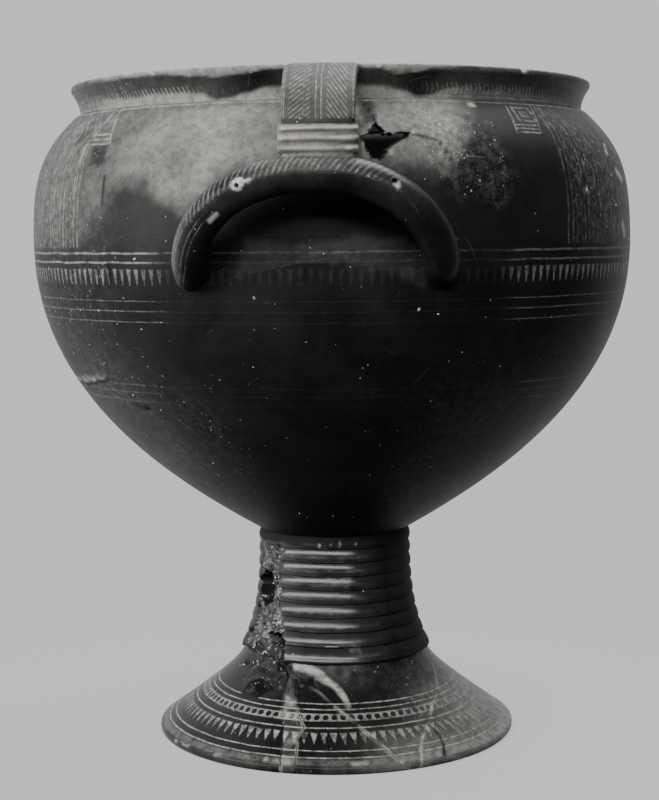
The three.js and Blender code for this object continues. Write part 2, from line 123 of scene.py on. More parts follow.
# Breaks of the foot, from the ground up
BREAK_LONG = [(25, 0), (20.5, 10.9), (17.5, 18.4), (9, 32), (-4.5, 46.9), (-18.5, 57.1), (-34, 68)]
BREAK_FILL_LEFT = [(-14, 0), (-15.5, 15), (-19, 31.3), (-24, 47.6), (-25.5, 57.8), (-37, 68)]
BREAK_FILL_RIGHT = [(-9.5, 0), (-11.5, 21.8), (-10, 27.9), (-16, 40.1), (-21.5, 51), (-23, 68)]
BREAK_RIGHT = [(28, 0), (30.5, 12.2), (35.5, 21.1), (49, 35.4), (60, 42.8), (76, 53.7), (88, 68)]
WEDGE_TOP = 55.8 * MM
BREAK_GAP = 0.12
BREAK_SEEDS = {"long": 1, "fill_left": 2, "fill_right": 3, "right": 4}
BREAK_PATHS = {
    "long": BREAK_LONG, "fill_left": BREAK_FILL_LEFT, "fill_right": BREAK_FILL_RIGHT, "right": BREAK_RIGHT,
}

# Star-shaped hole in the shoulder
SHOULDER_HOLE = [
    (8, 469), (9.2, 470.5), (10, 475.5), (10.7, 478.6), (11.2, 475.2), (11.9, 473.4), (12, 469.6),
    (12.9, 471.8), (13.3, 469.6), (14.8, 472.3), (16.4, 471.4), (15.8, 468.6), (13.9, 464.8),
    (11.9, 460), (12.1, 458.4), (10.9, 453), (9.9, 454.9), (9.1, 457.7), (8.6, 461.7), (8.4, 465.9),
]

# Lost surface of the stem, where plaster shows, and the two holes in it
STEM_GOUGE = [
    (-68, 152), (-55, 153), (-41.2, 153.3), (-42.5, 133), (-41.2, 113.2), (-37, 94),
    (-31, 84), (-31, 72), (-34.8, 58), (-60, 56), (-74, 66), (-78, 80), (-70, 96), (-74, 120),
]
STEM_HOLE_HIGH = [(-74, 126), (-64, 134), (-54, 133), (-49, 122), (-50, 110), (-60, 104), (-72, 108)]
STEM_HOLE_LOW = [(-52, 85.5), (-40, 88), (-32, 85), (-30.5, 79), (-38, 76.5), (-48, 78)]

# Camera, from the photograph's vanishing lines
PHOTO_FOCAL = 1717
PHOTO_HEIGHT = 800
CAMERA_PLACE = Vector((65.8, -1395.05, 403.15)) * MM
CAMERA_TURN = 2.83
CAMERA_PITCH = 5.5
CAMERA_ROLL = -0.574


def add(tree, kind, inputs=None, **settings):
    """Adds a node. Settings are its own properties, and inputs fill its sockets by name or place."""
    node = tree.nodes.new(kind)
    for name, value in settings.items():
        setattr(node, name, value)
    for key, value in (inputs or {}).items():
        if isinstance(value, Field):
            value = value.socket
        if isinstance(value, bpy.types.NodeSocket):
            tree.links.new(value, node.inputs[key])
        else:
            node.inputs[key].default_value = value
    return node


class Field:
    """A number that varies over a surface or along a path, built up as Math nodes."""

    def __init__(self, tree, socket):
        self.tree = tree
        self.socket = socket

    def math(self, operation, *others):
        inputs = dict(enumerate((self, *others)))
        return Field(self.tree, add(self.tree, "ShaderNodeMath", inputs, operation=operation).outputs[0])

    def __add__(self, other):
        return self.math("ADD", other)

    def __radd__(self, other):
        return self.math("ADD", other)

    def __sub__(self, other):
        return self.math("SUBTRACT", other)

    def __rsub__(self, other):
        return (self * -1).math("ADD", other)

    def __mul__(self, other):
        return self.math("MULTIPLY", other)

    def __rmul__(self, other):
        return self.math("MULTIPLY", other)

    def __truediv__(self, other):
        return self.math("DIVIDE", other)

    def __pow__(self, other):
        return self.math("POWER", other)

    def abs(self):
        return self.math("ABSOLUTE")

    def above(self, edge):
        return self.math("GREATER_THAN", edge)

    def below(self, edge):
        return self.math("LESS_THAN", edge)

    def most(self, other):
        return self.math("MAXIMUM", other)

    def least(self, other):
        return self.math("MINIMUM", other)

    def fade(self, low, high):
        """0 below low, 1 above high, smooth between. It falls when low is over high."""
        rising = low < high
        node = add(self.tree, "ShaderNodeMapRange", {
            "Value": self, "From Min": min(low, high), "From Max": max(low, high),
            "To Min": 0 if rising else 1, "To Max": 1 if rising else 0,
        }, interpolation_type="SMOOTHSTEP")
        return Field(self.tree, node.outputs["Result"])

    def line(self, middle, half, soft):
        """1 on a line of that half width round a value, soft at its edges."""
        return (self - middle).abs().fade(half + soft, half - soft)

    def within(self, low, high, soft=0.2):
        return self.line((low + high) / 2, (high - low) / 2, soft)

    def saw(self, pitch):
        """Distance from the middle of each repeat, from -0.5 to 0.5 of the pitch."""
        return (self / pitch).math("FRACT") - 0.5


# Outlines of the walls, as rows of radius and height

def direction(degrees):
    return np.array([math.cos(math.radians(degrees)), math.sin(math.radians(degrees))])


def curve_through(start, start_slope, start_run, end, end_slope, end_run, steps):
    t = np.linspace(0, 1, steps + 1)[:, None]
    first, last = np.array(start), np.array(end)
    after = first + start_run * direction(start_slope)
    before = last - end_run * direction(end_slope)
    return (1 - t) ** 3 * first + 3 * (1 - t) ** 2 * t * after + 3 * (1 - t) * t ** 2 * before + t ** 3 * last


def offset_outline(points, distance):
    along = np.gradient(points, axis=0)
    along /= np.linalg.norm(along, axis=1)[:, None]
    return points + distance * np.stack([-along[:, 1], along[:, 0]], axis=1)


def trim_outline(points, bottom, top):
    """Keeps an outline between two levels and ends it exactly on them."""
    order = np.argsort(points[:, 1], kind="stable")
    low = np.interp(bottom, points[order, 1], points[order, 0])
    high = np.interp(top, points[order, 1], points[order, 0])
    kept = points[(points[:, 1] > bottom + 0.4 * MM) & (points[:, 1] < top - 0.4 * MM)]
    return np.vstack([[low, bottom], kept, [high, top]])


def lengths_along(points):
    return np.concatenate([[0], np.cumsum(np.linalg.norm(np.diff(points, axis=0), axis=1))])


def resampled(points, count):
    lengths = lengths_along(points)
    at = np.linspace(0, lengths[-1], count)
    return np.stack([np.interp(at, lengths, column) for column in points.T], axis=1)


def bowl_outline():
    return curve_through(
        (BOWL_BASE_RADIUS, BOWL_BASE), BOWL_FLOOR_SLOPE, BOWL_FLOOR_RUN,
        (BELLY_RADIUS, BELLY), 90, BOWL_BELLY_RUN, 110,
    )


def shoulder_outline():
    return curve_through(
        (BELLY_RADIUS, BELLY), 90, SHOULDER_BELLY_RUN,
        (SHOULDER_TOP_RADIUS, NECK), 180 - SHOULDER_SLOPE, SHOULDER_TOP_RUN, 72,
    )


def collar_outline():
    t = np.linspace(0, 1, 15)[:, None]
    low, high = np.array([NECK_RADIUS, NECK]), np.array([LIP_RADIUS, LIP - LIP_EDGE_HEIGHT])
    bend = np.array([NECK_RADIUS, NECK + COLLAR_BEND_HEIGHT])
    flare = (1 - t) ** 2 * low + 2 * (1 - t) * t * bend + t ** 2 * high
    turn = np.linspace(0, math.pi / 2, 6)
    centre = np.array([LIP_RADIUS - LIP_EDGE_ROUND, LIP - LIP_EDGE_ROUND])
    edge = centre + LIP_EDGE_ROUND * np.stack([np.cos(turn), np.sin(turn)], axis=1)
    return np.vstack([flare, edge])


BODY_OUTLINE = np.vstack([bowl_outline(), shoulder_outline()[1:], collar_outline()])


def wall_radius(height):
    return np.interp(height, BODY_OUTLINE[:, 1], BODY_OUTLINE[:, 0])


def flare_outline():
    """The foot's outer and inner outlines, both from the ground up."""
    turn = np.linspace(-math.pi / 2, math.pi / 2, 9)
    edge = np.stack([
        FOOT_RADIUS - FOOT_EDGE_ROUND + FOOT_EDGE_ROUND * np.cos(turn),
        FOOT_EDGE_HEIGHT / 2 * (1 + np.sin(turn)),
    ], axis=1)
    slope = curve_through(
        (FOOT_RADIUS - FOOT_EDGE_ROUND, FOOT_EDGE_HEIGHT), 180 - FLARE_EDGE_SLOPE, FLARE_EDGE_RUN,
        (FLARE_TOP_RADIUS, STEM_BASE), 180 - FLARE_TOP_SLOPE, FLARE_TOP_RUN, 60,
    )
    inner = trim_outline(offset_outline(slope, WALL), FOOT_EDGE_HEIGHT / 2, STEM_BASE)
    ring_inside = [FOOT_RADIUS - FOOT_EDGE_ROUND - FOOT_RING_WIDTH, 0]
    return np.vstack([edge, slope[1:]]), np.vstack([ring_inside, inner])


def flare_outer_radius(height):
    outer, _ = flare_outline()
    keep = outer[:, 1] >= FOOT_EDGE_HEIGHT / 2
    return np.interp(height, outer[keep, 1], outer[keep, 0])


# Places and zones on the walls

def scattered(cells):
    """A fixed random number from -1 to 1 for each whole-number cell."""
    mixed = (cells * np.array([73856093, 19349663, 83492791])).sum(axis=1)
    mixed = (mixed ^ (mixed >> 13)) * 1274126177 & 0x7FFFFFFF
    return mixed / 0x3FFFFFFF - 1


def lumps(points, size, seed):
    """Smooth noise from -1 to 1 at points in metres, with lumps of that size."""
    place = points / size + np.array([seed, seed * 1.7, -seed])
    cell = np.floor(place).astype(np.int64)
    share = place - cell
    share = share * share * (3 - 2 * share)
    total = np.zeros(len(points))
    for corner in itertools.product((0, 1), repeat=3):
        weight = np.prod(np.where(corner, share, 1 - share), axis=1)
        total += weight * scattered(cell + np.array(corner))
    return total


def smooth_step(values, low, high):
    t = np.clip((values - low) / (high - low), 0, 1)
    return t * t * (3 - 2 * t)


def azimuths_of(points):
    return np.degrees(np.arctan2(points[:, 0], -points[:, 1]))


def radii_of(points):
    return np.hypot(points[:, 0], points[:, 1])


def distance_to_path(points, path, closed=False):
    """Distance in metres over the wall from each point to a path of (azimuth, height) corners."""
    corners = list(path) + ([path[0]] if closed else [])
    best = np.full(len(points), 1e9)
    azimuth, scale = azimuths_of(points), np.radians(1) * radii_of(points)
    for (a0, z0), (a1, z1) in zip(corners, corners[1:]):
        ux, uy = (a1 - a0) * scale, (z1 - z0) * MM
        px, py = (azimuth - a0) * scale, points[:, 2] - z0 * MM
        t = np.clip((px * ux + py * uy) / np.maximum(ux * ux + uy * uy, 1e-12), 0, 1)
        best = np.minimum(best, np.hypot(px - t * ux, py - t * uy))
    return best


def inside_path(points, path):
    azimuth, height = azimuths_of(points), points[:, 2]
    inside = np.zeros(len(points), bool)
    for (a0, z0), (a1, z1) in zip(path, path[1:] + path[:1]):
        crosses = (z0 * MM > height) != (z1 * MM > height)
        at = a0 + (height - z0 * MM) * (a1 - a0) / ((z1 - z0) * MM + 1e-12)
        inside ^= crosses & (azimuth < at)
    return inside


def zone(points, outline, soft, ragged=0, seed=1):
    """1 inside a closed outline on the wall and 0 outside, with a soft, ragged edge."""
    edge = distance_to_path(points, outline, closed=True)
    signed = np.where(inside_path(points, outline), edge, -edge)
    if ragged:
        signed = signed + ragged * (lumps(points, 3 * ragged, seed) + 0.5 * lumps(points, ragged, seed + 7))
    return smooth_step(signed, -soft / 2, soft / 2)


def near_path(points, path, full, gone, closed=False):
    """1 within a distance of a path and 0 past another."""
    return 1 - smooth_step(distance_to_path(points, path, closed), full, gone)


def to_front(points):
    """Turns points of the back half to the front, with left and right kept."""
    return np.where(points[:, 1:2] > 0, points * [1, -1, 1], points)


# Meshes

def new_piece(name, vertices, faces, sharp=38):
    mesh = bpy.data.meshes.new(name)
    mesh.from_pydata([tuple(v) for v in vertices], [], [tuple(f) for f in faces])
    piece = bpy.data.objects.new(name, mesh)
    bpy.context.scene.collection.objects.link(piece)
    closed_up(piece, sharp)
    return piece


def closed_up(piece, sharp):
    """Merges a piece's seams, turns its faces outwards and smooths all but its sharp edges."""
    work = bmesh.new()
    work.from_mesh(piece.data)
    bmesh.ops.remove_doubles(work, verts=work.verts, dist=2e-6)
    bmesh.ops.recalc_face_normals(work, faces=work.faces)
    work.to_mesh(piece.data)
    work.free()
    smooth(piece, sharp)


def smooth(piece, sharp):
    for face in piece.data.polygons:
        face.use_smooth = True
    piece.data.set_sharp_from_angle(angle=math.radians(sharp))


def rings_joined(rings, count):
    """Faces between rings of count points each, every ring closed on itself."""
    faces = []
    for here in range(0, (rings - 1) * count, count):
        for place in range(count):
            after = (place + 1) % count
            faces.append((here + place, here + after, here + count + after, here + count + place))
    return faces


def turned(name, outline, columns, closed=True, sharp=38):
    """Turns an outline of radius and height round the axis."""
    count = len(outline)
    angle = np.arange(columns + 1) * 2 * math.pi / columns
    x = np.outer(np.sin(angle), outline[:, 0])
    y = -np.outer(np.cos(angle), outline[:, 0])
    z = np.outer(np.ones(columns + 1), outline[:, 1])
    vertices = np.stack([x, y, z], axis=2).reshape(-1, 3)
    faces = rings_joined(columns + 1, count)
    if not closed:
        faces = [face for place, face in enumerate(faces) if place % count != count - 1]
    return new_piece(name, vertices, faces, sharp)


def points_of(piece):
    points = np.zeros(len(piece.data.vertices) * 3)
    piece.data.vertices.foreach_get("co", points)
    return points.reshape(-1, 3)


def moved(piece, shift):
    """Moves each vertex by shift(points), which returns an array of vectors."""
    points = points_of(piece)
    points = points + shift(points)
    piece.data.vertices.foreach_set("co", points.ravel())
    piece.data.update()


def paint(piece, name, rule):
    """Gives the piece an attribute with rule(points) at its vertices."""
    values = np.ascontiguousarray(rule(points_of(piece)), dtype=np.float32)
    layer = piece.data.attributes.get(name) or piece.data.attributes.new(name, "FLOAT", "POINT")
    layer.data.foreach_set("value", values)


def radial(points, amount):
    """Vectors that move points away from the axis by an amount each."""
    flat = points * np.array([1, 1, 0])
    length = np.maximum(np.linalg.norm(flat, axis=1), 1e-6)
    return flat / length[:, None] * amount[:, None]


def hand_thrown(size):
    """The slight unevenness of a wall thrown by hand."""
    def shift(points):
        return radial(points, size * (lumps(points, 0.11, 3) + 0.35 * lumps(points * [1, 1, 3], 0.035, 9)))
    return shift


def broken_outline(corners, ragged):
    """A closed outline of azimuths and heights, with ragged sides between its corners."""
    ring = []
    for (a0, z0), (a1, z1) in zip(corners, corners[1:] + corners[:1]):
        for share in (0, 0.2, 0.4, 0.6, 0.8):
            azimuth, height = a0 + (a1 - a0) * share, z0 + (z1 - z0) * share
            rough = ragged * noise.noise(Vector((azimuth * 1.3, height * 0.9, 4)))
            ring.append((azimuth + rough, height + rough * 2))
    return ring


def radial_cutter(name, ring, near, far):
    """A prism through a wall, on an outline of azimuths and heights."""
    vertices = []
    for radius in (near, far):
        for azimuth, height in ring:
            angle = math.radians(azimuth)
            vertices.append((radius * math.sin(angle), -radius * math.cos(angle), height * MM))
    count = len(ring)
    faces = rings_joined(2, count) + [tuple(range(count)), tuple(range(count, 2 * count))]
    return new_piece(name, vertices, faces)


def cut(piece, cutter, sharp=38):
    modifier = piece.modifiers.new("hole", "BOOLEAN")
    modifier.object = cutter
    modifier.operation = "DIFFERENCE"
    modifier.solver = "EXACT"
    make_plain(piece)
    bpy.data.objects.remove(cutter)
    closed_up(piece, sharp)


def make_plain(piece):
    """Turns what a piece's modifiers show into its own plain mesh."""
    bpy.context.view_layer.update()
    depsgraph = bpy.context.evaluated_depsgraph_get()
    result = bpy.data.meshes.new_from_object(piece.evaluated_get(depsgraph))
    old = piece.data
    piece.modifiers.clear()
    piece.data = result
    bpy.data.meshes.remove(old)


# Geometry trees

def new_tree(name, sizes):
    """A geometry tree with a named input for each size. Returns it, what it is given, and the sizes."""
    tree = bpy.data.node_groups.new(name, "GeometryNodeTree")
    tree.interface.new_socket("Geometry", in_out="INPUT", socket_type="NodeSocketGeometry")
    for label, value in sizes.items():
        kind = "NodeSocketInt" if isinstance(value, int) else "NodeSocketFloat"
        tree.interface.new_socket(label, in_out="INPUT", socket_type=kind)
    tree.interface.new_socket("Geometry", in_out="OUTPUT", socket_type="NodeSocketGeometry")
    source = add(tree, "NodeGroupInput")
    given = {label: Field(tree, source.outputs[label]) for label in sizes}
    return tree, source.outputs["Geometry"], given


def end_tree(tree, geometry, material):
    real = add(tree, "GeometryNodeRealizeInstances", {"Geometry": geometry})
    skin = add(tree, "GeometryNodeSetMaterial", {"Geometry": real.outputs[0], "Material": material})
    add(tree, "NodeGroupOutput", {"Geometry": skin.outputs[0]})


def grown(name, tree, sizes, start=None):
    """Runs a tree on a copy of a starting mesh, and returns what grows as a plain piece."""
    piece = bpy.data.objects.new(name, start or bpy.data.meshes.new(name))
    bpy.context.scene.collection.objects.link(piece)
    modifier = piece.modifiers.new(tree.name, "NODES")
    modifier.node_group = tree
    for item in tree.interface.items_tree:
        if item.in_out == "INPUT" and item.name in sizes:
            modifier[item.identifier] = sizes[item.name]
    make_plain(piece)
    return piece


def part_of(tree, vector):
    """The x, y and z of a vector socket."""
    split = add(tree, "ShaderNodeSeparateXYZ", {0: vector})
    return [Field(tree, split.outputs[place]) for place in range(3)]


def joined_vector(tree, x, y, z):
    return add(tree, "ShaderNodeCombineXYZ", {"X": x, "Y": y, "Z": z}).outputs[0]


def vector_math(tree, operation, *vectors, **inputs):
    node = add(tree, "ShaderNodeVectorMath", {**dict(enumerate(vectors)), **inputs}, operation=operation)
    return node.outputs["Value" if operation in ("DOT_PRODUCT", "DISTANCE", "LENGTH") else "Vector"]


# Materials

GLOSS_DARK = (0.0085, 0.0083, 0.008)
GLOSS_CLOUDY = (0.017, 0.0167, 0.016)
# The pale of worn film, also used as painted sheen and painted highlight.
FILM_AND_SHEEN_PALE = (0.42, 0.408, 0.386)
CLAY_BARE = (0.6, 0.58, 0.54)
PLASTER_PALE = (0.7, 0.68, 0.64)
# Black of cracks and dark marks, also used as painted shade.
DARK_MARKS_AND_SHADE = (0.004, 0.004, 0.004)
PAINT_BODY = (0.39, 0.378, 0.357)
PAINT_STRAP = (0.4, 0.388, 0.366)
PAINT_FOOT = (0.62, 0.6, 0.565)

# Levels of the ornament on the wall, in mm: middle and half width of each line
BOWL_LINES = [(391.5, 0.75), (385, 0.75)]
BOWL_THIN_LINES = [
    (358, 0.4), (350.7, 0.45), (343, 0.4), (296, 0.4), (290, 0.35), (283, 0.4),
    (228.7, 0.35), (224.9, 0.35), (222.8, 0.3),
]
NECK_LINES = [(499, 0.7), (495, 0.7)]
BOWL_TEETH = 215
BOWL_TEETH_TOP, BOWL_TEETH_FOOT = 380.3, 369
COLLAR_CHEVRONS = 327

# Panels of the shoulder, in degrees from the middle of the handle, with their levels in mm
PANEL_TOP, PANEL_FOOT = 493.5, 395.5
MM_PER_DEGREE = 4
PANEL_LINES = [47.9, 49.3, 52.9, 54.2, 57.6, 58.9, 63.6, 64.9, 69.6, 70.9, 76.2, 77.5]
PANEL_CHAINS = [(51.1, 1.7), (55.9, 1.6), (61.2, 2.3), (67.2, 2.3), (73.5, 2.5)]
CHAIN_PITCH = 13.5
LADDER_RUNGS = [469.5, 473, 476.5]
KEY_RUNGS = [473.7, 476.4, 479]

# Levels of the foot's ornament, in mm
FOOT_LINES = [(41.5, 0.32), (38.2, 0.3), (27.6, 0.34), (14.9, 0.3), (11.1, 0.36)]
FOOT_DOTS = 100
FOOT_TEETH = 100
DOT_BAND_FOOT, DOT_BAND_TOP = 31.4, 35.8
FOOT_TEETH_FOOT, FOOT_TEETH_TOP = 18.5, 25


def start_material(name):
    material = bpy.data.materials.new(name)
    material.use_nodes = True
    tree = material.node_tree
    tree.nodes.clear()
    shader = add(tree, "ShaderNodeBsdfPrincipled")
    add(tree, "ShaderNodeOutputMaterial", {0: shader.outputs[0]})
    return material, tree, shader


class Wall:
    """Where a point of a surface lies: place in mm, azimuth in degrees, height and radius in mm."""

    def __init__(self, tree):
        self.tree = tree
        coordinates = add(tree, "ShaderNodeTexCoord")
        self.place = vector_math(tree, "SCALE", coordinates.outputs["Object"], Scale=1000)
        x, y, self.height = part_of(tree, self.place)
        self.radius = (x * x + y * y).math("SQRT")
        self.azimuth = x.math("ARCTAN2", y * -1) * (180 / math.pi)
        self.from_handle = (x / self.radius).math("ARCSINE") * (180 / math.pi)

    def grain(self, size, detail=3, rough=0.55, stretch=(1, 1, 1), distortion=0):
        """Noise from 0 to 1 with features of about that size in mm."""
        place = vector_math(self.tree, "MULTIPLY", self.place, stretch)
        node = add(self.tree, "ShaderNodeTexNoise", {
            "Vector": place, "Scale": 1 / size, "Detail": detail, "Roughness": rough,
            "Distortion": distortion,
        })
        return Field(self.tree, node.outputs[0])

    def cells(self, size):
        """Distance to the nearest of scattered spots, in shares of that size in mm."""
        node = add(self.tree, "ShaderNodeTexVoronoi", {"Vector": self.place, "Scale": 1 / size})
        return Field(self.tree, node.outputs["Distance"])

    def spots(self, size, reach, share):
        """Uneven spots in a share of the cells of that size in mm, up to that reach in cells."""
        place = vector_math(self.tree, "MULTIPLY", self.place, (1, 1, 0.8))
        node = add(self.tree, "ShaderNodeTexVoronoi", {"Vector": place, "Scale": 1 / size})
        chance, large, _ = part_of(self.tree, node.outputs["Color"])
        edge = (large ** 2) * reach + reach * 0.35
        inside = (edge - Field(self.tree, node.outputs["Distance"])).fade(0, 0.05)
        return inside * (share - chance).above(0)

    def scratches(self, size, width, share):
        """Thin bent scratches of that width in mm, one in a share of the cells of that size."""
        flat = joined_vector(self.tree, self.azimuth * MM_PER_DEGREE, self.height, size)
        node = add(self.tree, "ShaderNodeTexVoronoi", {"Vector": flat, "Scale": 1 / size}, voronoi_dimensions="2D")
        chance, turn, reach = part_of(self.tree, node.outputs["Color"])
        away = vector_math(self.tree, "SUBTRACT", flat, node.outputs["Position"])
        across, down, _ = part_of(self.tree, away)
        turn = (turn - 0.5) * math.pi
        along = across * turn.math("COSINE") + down * turn.math("SINE")
        beside = down * turn.math("COSINE") - across * turn.math("SINE")
        bent = beside + along * along * (reach - 0.5) * (0.8 / size)
        end = reach * (0.4 * size) + 0.08 * size
        line = bent.abs().fade(width, width * 0.35) * (end - along.abs()).fade(0, 1.5)
        return line * (share - chance).above(0)

    def painted(self, name):
        node = add(self.tree, "ShaderNodeAttribute", attribute_name=name)
        return Field(self.tree, node.outputs["Fac"])

    def to_stroke(self, corners, per_degree):
        """Distance in mm to a stroke over corners of azimuth and height."""
        flat = joined_vector(self.tree, self.azimuth * per_degree, self.height, 0)
        best = None
        for (a0, z0), (a1, z1) in zip(corners, corners[1:]):
            run = ((a1 - a0) * per_degree, z1 - z0, 0)
            length = run[0] ** 2 + run[1] ** 2
            away = vector_math(self.tree, "SUBTRACT", flat, (a0 * per_degree, z0, 0))
            share = vector_math(self.tree, "DOT_PRODUCT", away, tuple(part / length for part in run))
            held = add(self.tree, "ShaderNodeClamp", {0: share}).outputs[0]
            foot = add(self.tree, "ShaderNodeVectorMath", {0: run, "Scale": held}, operation="SCALE")
            gap = Field(self.tree, vector_math(self.tree, "DISTANCE", away, foot.outputs[0]))
            best = gap if best is None else best.least(gap)
        return best


def blend_colour(tree, share, first, second):
    """Mixes from first to second by share. Each is a colour or a socket."""
    inputs = {"Factor": share}
    for place, colour in ((6, first), (7, second)):
        inputs[place] = (*colour, 1) if isinstance(colour, tuple) else colour
    return add(tree, "ShaderNodeMix", inputs, data_type="RGBA").outputs[2]


def bump(tree, height, distance, strength, base=None):
    inputs = {"Distance": distance * MM, "Strength": strength, "Height": height}
    if base is not None:
        inputs["Normal"] = base
    return add(tree, "ShaderNodeBump", inputs).outputs[0]


def gloss_material(name, ornament, paint_colour=PAINT_BODY, rough=0.42, shine=0.2, relief=1):
    """Worn black gloss, with painted sheen and painted shade from its attributes. ornament(wall) returns the pale
    pattern's share.
    """
    material, tree, shader = start_material(name)
    wall = Wall(tree)
    cloudy = wall.grain(55, detail=4, rough=0.62, distortion=0.4)
    mottle = wall.grain(6.5, detail=5, rough=0.7)
    fine = wall.grain(1.6, detail=3, rough=0.7)
    film, wear, smear = wall.painted("film"), wall.painted("wear"), wall.painted("smear")

    colour = blend_colour(tree, cloudy.fade(0.38, 0.68), GLOSS_DARK, GLOSS_CLOUDY)
    patchy = mottle.fade(0.26, 0.7) * 0.5 + (fine - 0.5) * 0.6 + 0.45
    haze = wear * 0.26 * (mottle + fine * 0.4).fade(0.6, 0.84)
    # The pale film painted from the attribute is partly worn film and partly painted sheen and highlight.
    film_share = ((film + haze) * patchy).least(1).most(0)
    colour = blend_colour(tree, film_share, colour, FILM_AND_SHEEN_PALE)

    pattern = ornament(wall)
    hold = wall.painted("hold") * (fine.fade(0.32, 0.56) * 0.65 + 0.35) * (mottle.fade(0.36, 0.58) * 0.7 + 0.3)
    shown = pattern * hold
    colour = blend_colour(tree, shown, colour, paint_colour)

    # Wear lets more of the spots and scratches through
    worn = wall.spots(7, 0.13, wear * 0.3 + 0.008).most(wall.spots(3.1, 0.2, wear * 0.32 + 0.004) * 0.7)
    worn = worn.most(wall.spots(1.8, 0.28, wear * 0.5) * 0.6)
    scratched = wall.scratches(26, 0.3, wear * 0.9 + 0.03).most(wall.scratches(11, 0.22, wear * 0.5 + 0.02))
    worn = worn.most(scratched * (wear * 0.5 + 0.12) * (fine * 0.8 + 0.4))
    colour = blend_colour(tree, worn, colour, CLAY_BARE)

    smeared = smear * (fine.fade(0.3, 0.6) * 0.6 + 0.4)
    colour = blend_colour(tree, smeared, colour, PLASTER_PALE)
    # Cracks and dark marks, and painted shade in hollows, at the star hole's edges and on the stem.
    crack = wall.painted("crack")
    colour = blend_colour(tree, crack * (1 - smeared), colour, DARK_MARKS_AND_SHADE)
    tree.links.new(colour, shader.inputs["Base Color"])

    roughness = cloudy * 0.16 + (fine - 0.5) * 0.12 + shown * 0.2 + worn * 0.2 + film_share * 0.3
    roughness = (roughness + (rough - 0.08)).most(smeared * 0.9).most(crack * 0.95).least(1)
    tree.links.new(roughness.socket, shader.inputs["Roughness"])
    shader.inputs["Specular IOR Level"].default_value = shine
    turning = wall.grain(4.5, detail=3, rough=0.6, stretch=(0.12, 0.12, 3))
    normal = bump(tree, turning, 0.5, 0.3 * relief)
    normal = bump(tree, mottle + fine * 0.3, 0.7, 0.35 * relief, normal)
    normal = bump(tree, shown * -1 - worn - crack, 0.35, 0.5, normal)
    tree.links.new(normal, shader.inputs["Normal"])
    return material


def level_of(wall, stray):
    """Height in mm that strays a little, as a line drawn by hand does."""
    return wall.height + (wall.grain(26, detail=1) - 0.5) * (2 * stray)


def drawn_lines(level, lines, soft=0.3):
    mask = None
    for middle, half in lines:
        line = level.line(middle, half, soft)
        mask = line if mask is None else mask.most(line)
    return mask


def bowl_ornament(wall):
    level = level_of(wall, 0.7)
    mask = drawn_lines(level, BOWL_LINES).most(drawn_lines(level, BOWL_THIN_LINES) * 0.5)
    depth = (BOWL_TEETH_TOP - level) / (BOWL_TEETH_TOP - BOWL_TEETH_FOOT)
    tooth = wall.azimuth.saw(360 / BOWL_TEETH).abs() + depth * 0.26
    teeth = tooth.fade(0.36, 0.26) * level.within(BOWL_TEETH_FOOT, BOWL_TEETH_TOP, 0.5)
    arch = wall.to_stroke(PALE_ARCH_LINE, 4.05).fade(0.75, 0.3) * wall.grain(7).fade(0.38, 0.55)
    return mask.most(teeth * 0.7).most(panel_marks(wall, level)).most(arch * wall.azimuth.abs().below(22))


def shoulder_ornament(wall):
    level = level_of(wall, 0.5)
    return panel_marks(wall, level).most(corner_marks(wall, level)).most(drawn_lines(level, NECK_LINES))


def panel_marks(wall, level):
    """Upright lines and chains of lozenges on both sides between the handles."""
    side = wall.from_handle.abs() + (wall.grain(18, detail=1) - 0.5) * 0.7
    upright = None
    for middle in PANEL_LINES:
        line = side.line(middle, 0.17, 0.12)
        upright = line if upright is None else upright.most(line)
    for middle, half in PANEL_CHAINS:
        across = ((side - middle) / half).abs()
        zigzag = level.saw(CHAIN_PITCH).abs() * 2
        lozenge = (across + zigzag - 0.8).abs().fade(0.24, 0.12) * across.below(1)
        upright = upright.most(lozenge * 0.5)
    upright = upright.most((side - 0.4).saw(1.37).abs().fade(0.15, 0.05) * 0.5)
    kept = wall.grain(5, detail=3, stretch=(1, 1, 0.4)).fade(0.36, 0.62) * 0.8 + 0.2
    return upright * kept * level.within(PANEL_FOOT, PANEL_TOP, 0.6) * side.above(47)


def corner_marks(wall, level):
    """The hatched wedge in the left panel's top corner and the key square in the right one's."""
    azimuth = wall.from_handle
    drop = (494.4 - level) / 25
    wedge_right, wedge_left = drop * 3.4 - 45, drop * -2.2 - 46.7
    down = level.within(468.8, 494.2, 0.4)
    double = level.within(430, 494.2, 2)
    wedge = (azimuth - wedge_right).line(0, 0.22, 0.12) * down
    wedge = wedge.most((azimuth - wedge_left.most(-48.9)).line(0, 0.2, 0.12) * double)
    wedge = wedge.most((azimuth - wedge_left.most(-48.9)).line(-0.75, 0.17, 0.1) * double)
    inside = azimuth.math("LESS_THAN", wedge_right) * azimuth.math("GREATER_THAN", wedge_left)
    wedge = wedge.most(drawn_lines(level, [(rung, 0.7) for rung in LADDER_RUNGS], 0.4) * inside)
    wedge = wedge.most(level.within(482, 494, 3) * inside * wall.grain(4).fade(0.35, 0.6) * 0.7)

    key_left, key_right = drop * -1.2 + 39.6, drop * -2.7 + 46.9
    key = (azimuth - key_left).line(0, 0.2, 0.12).most((azimuth - key_right).line(0, 0.2, 0.12))
    key = key * level.within(473, 492.8, 0.4)
    inside = (azimuth - key_left).above(0) * (azimuth - key_right).below(0)
    key = key.most(drawn_lines(level, [(rung, 0.6) for rung in KEY_RUNGS], 0.4) * inside)
    step = ((azimuth - 43) / 3.3).abs().most(((level - 487) / 7).abs())
    key = key.most((step * 2.2).saw(1).abs().fade(0.3, 0.14) * level.above(481) * inside * 0.8)
    strokes = ((azimuth - 47.5) * 3.2 + level).saw(5.6).abs().fade(0.17, 0.07)
    strokes = strokes * azimuth.abs().within(47, 62, 0.4) * level.within(479, 493, 1) * 0.6
    return wedge.most(key * (wall.grain(4, detail=2).fade(0.36, 0.6) * 0.75 + 0.25)).most(strokes)


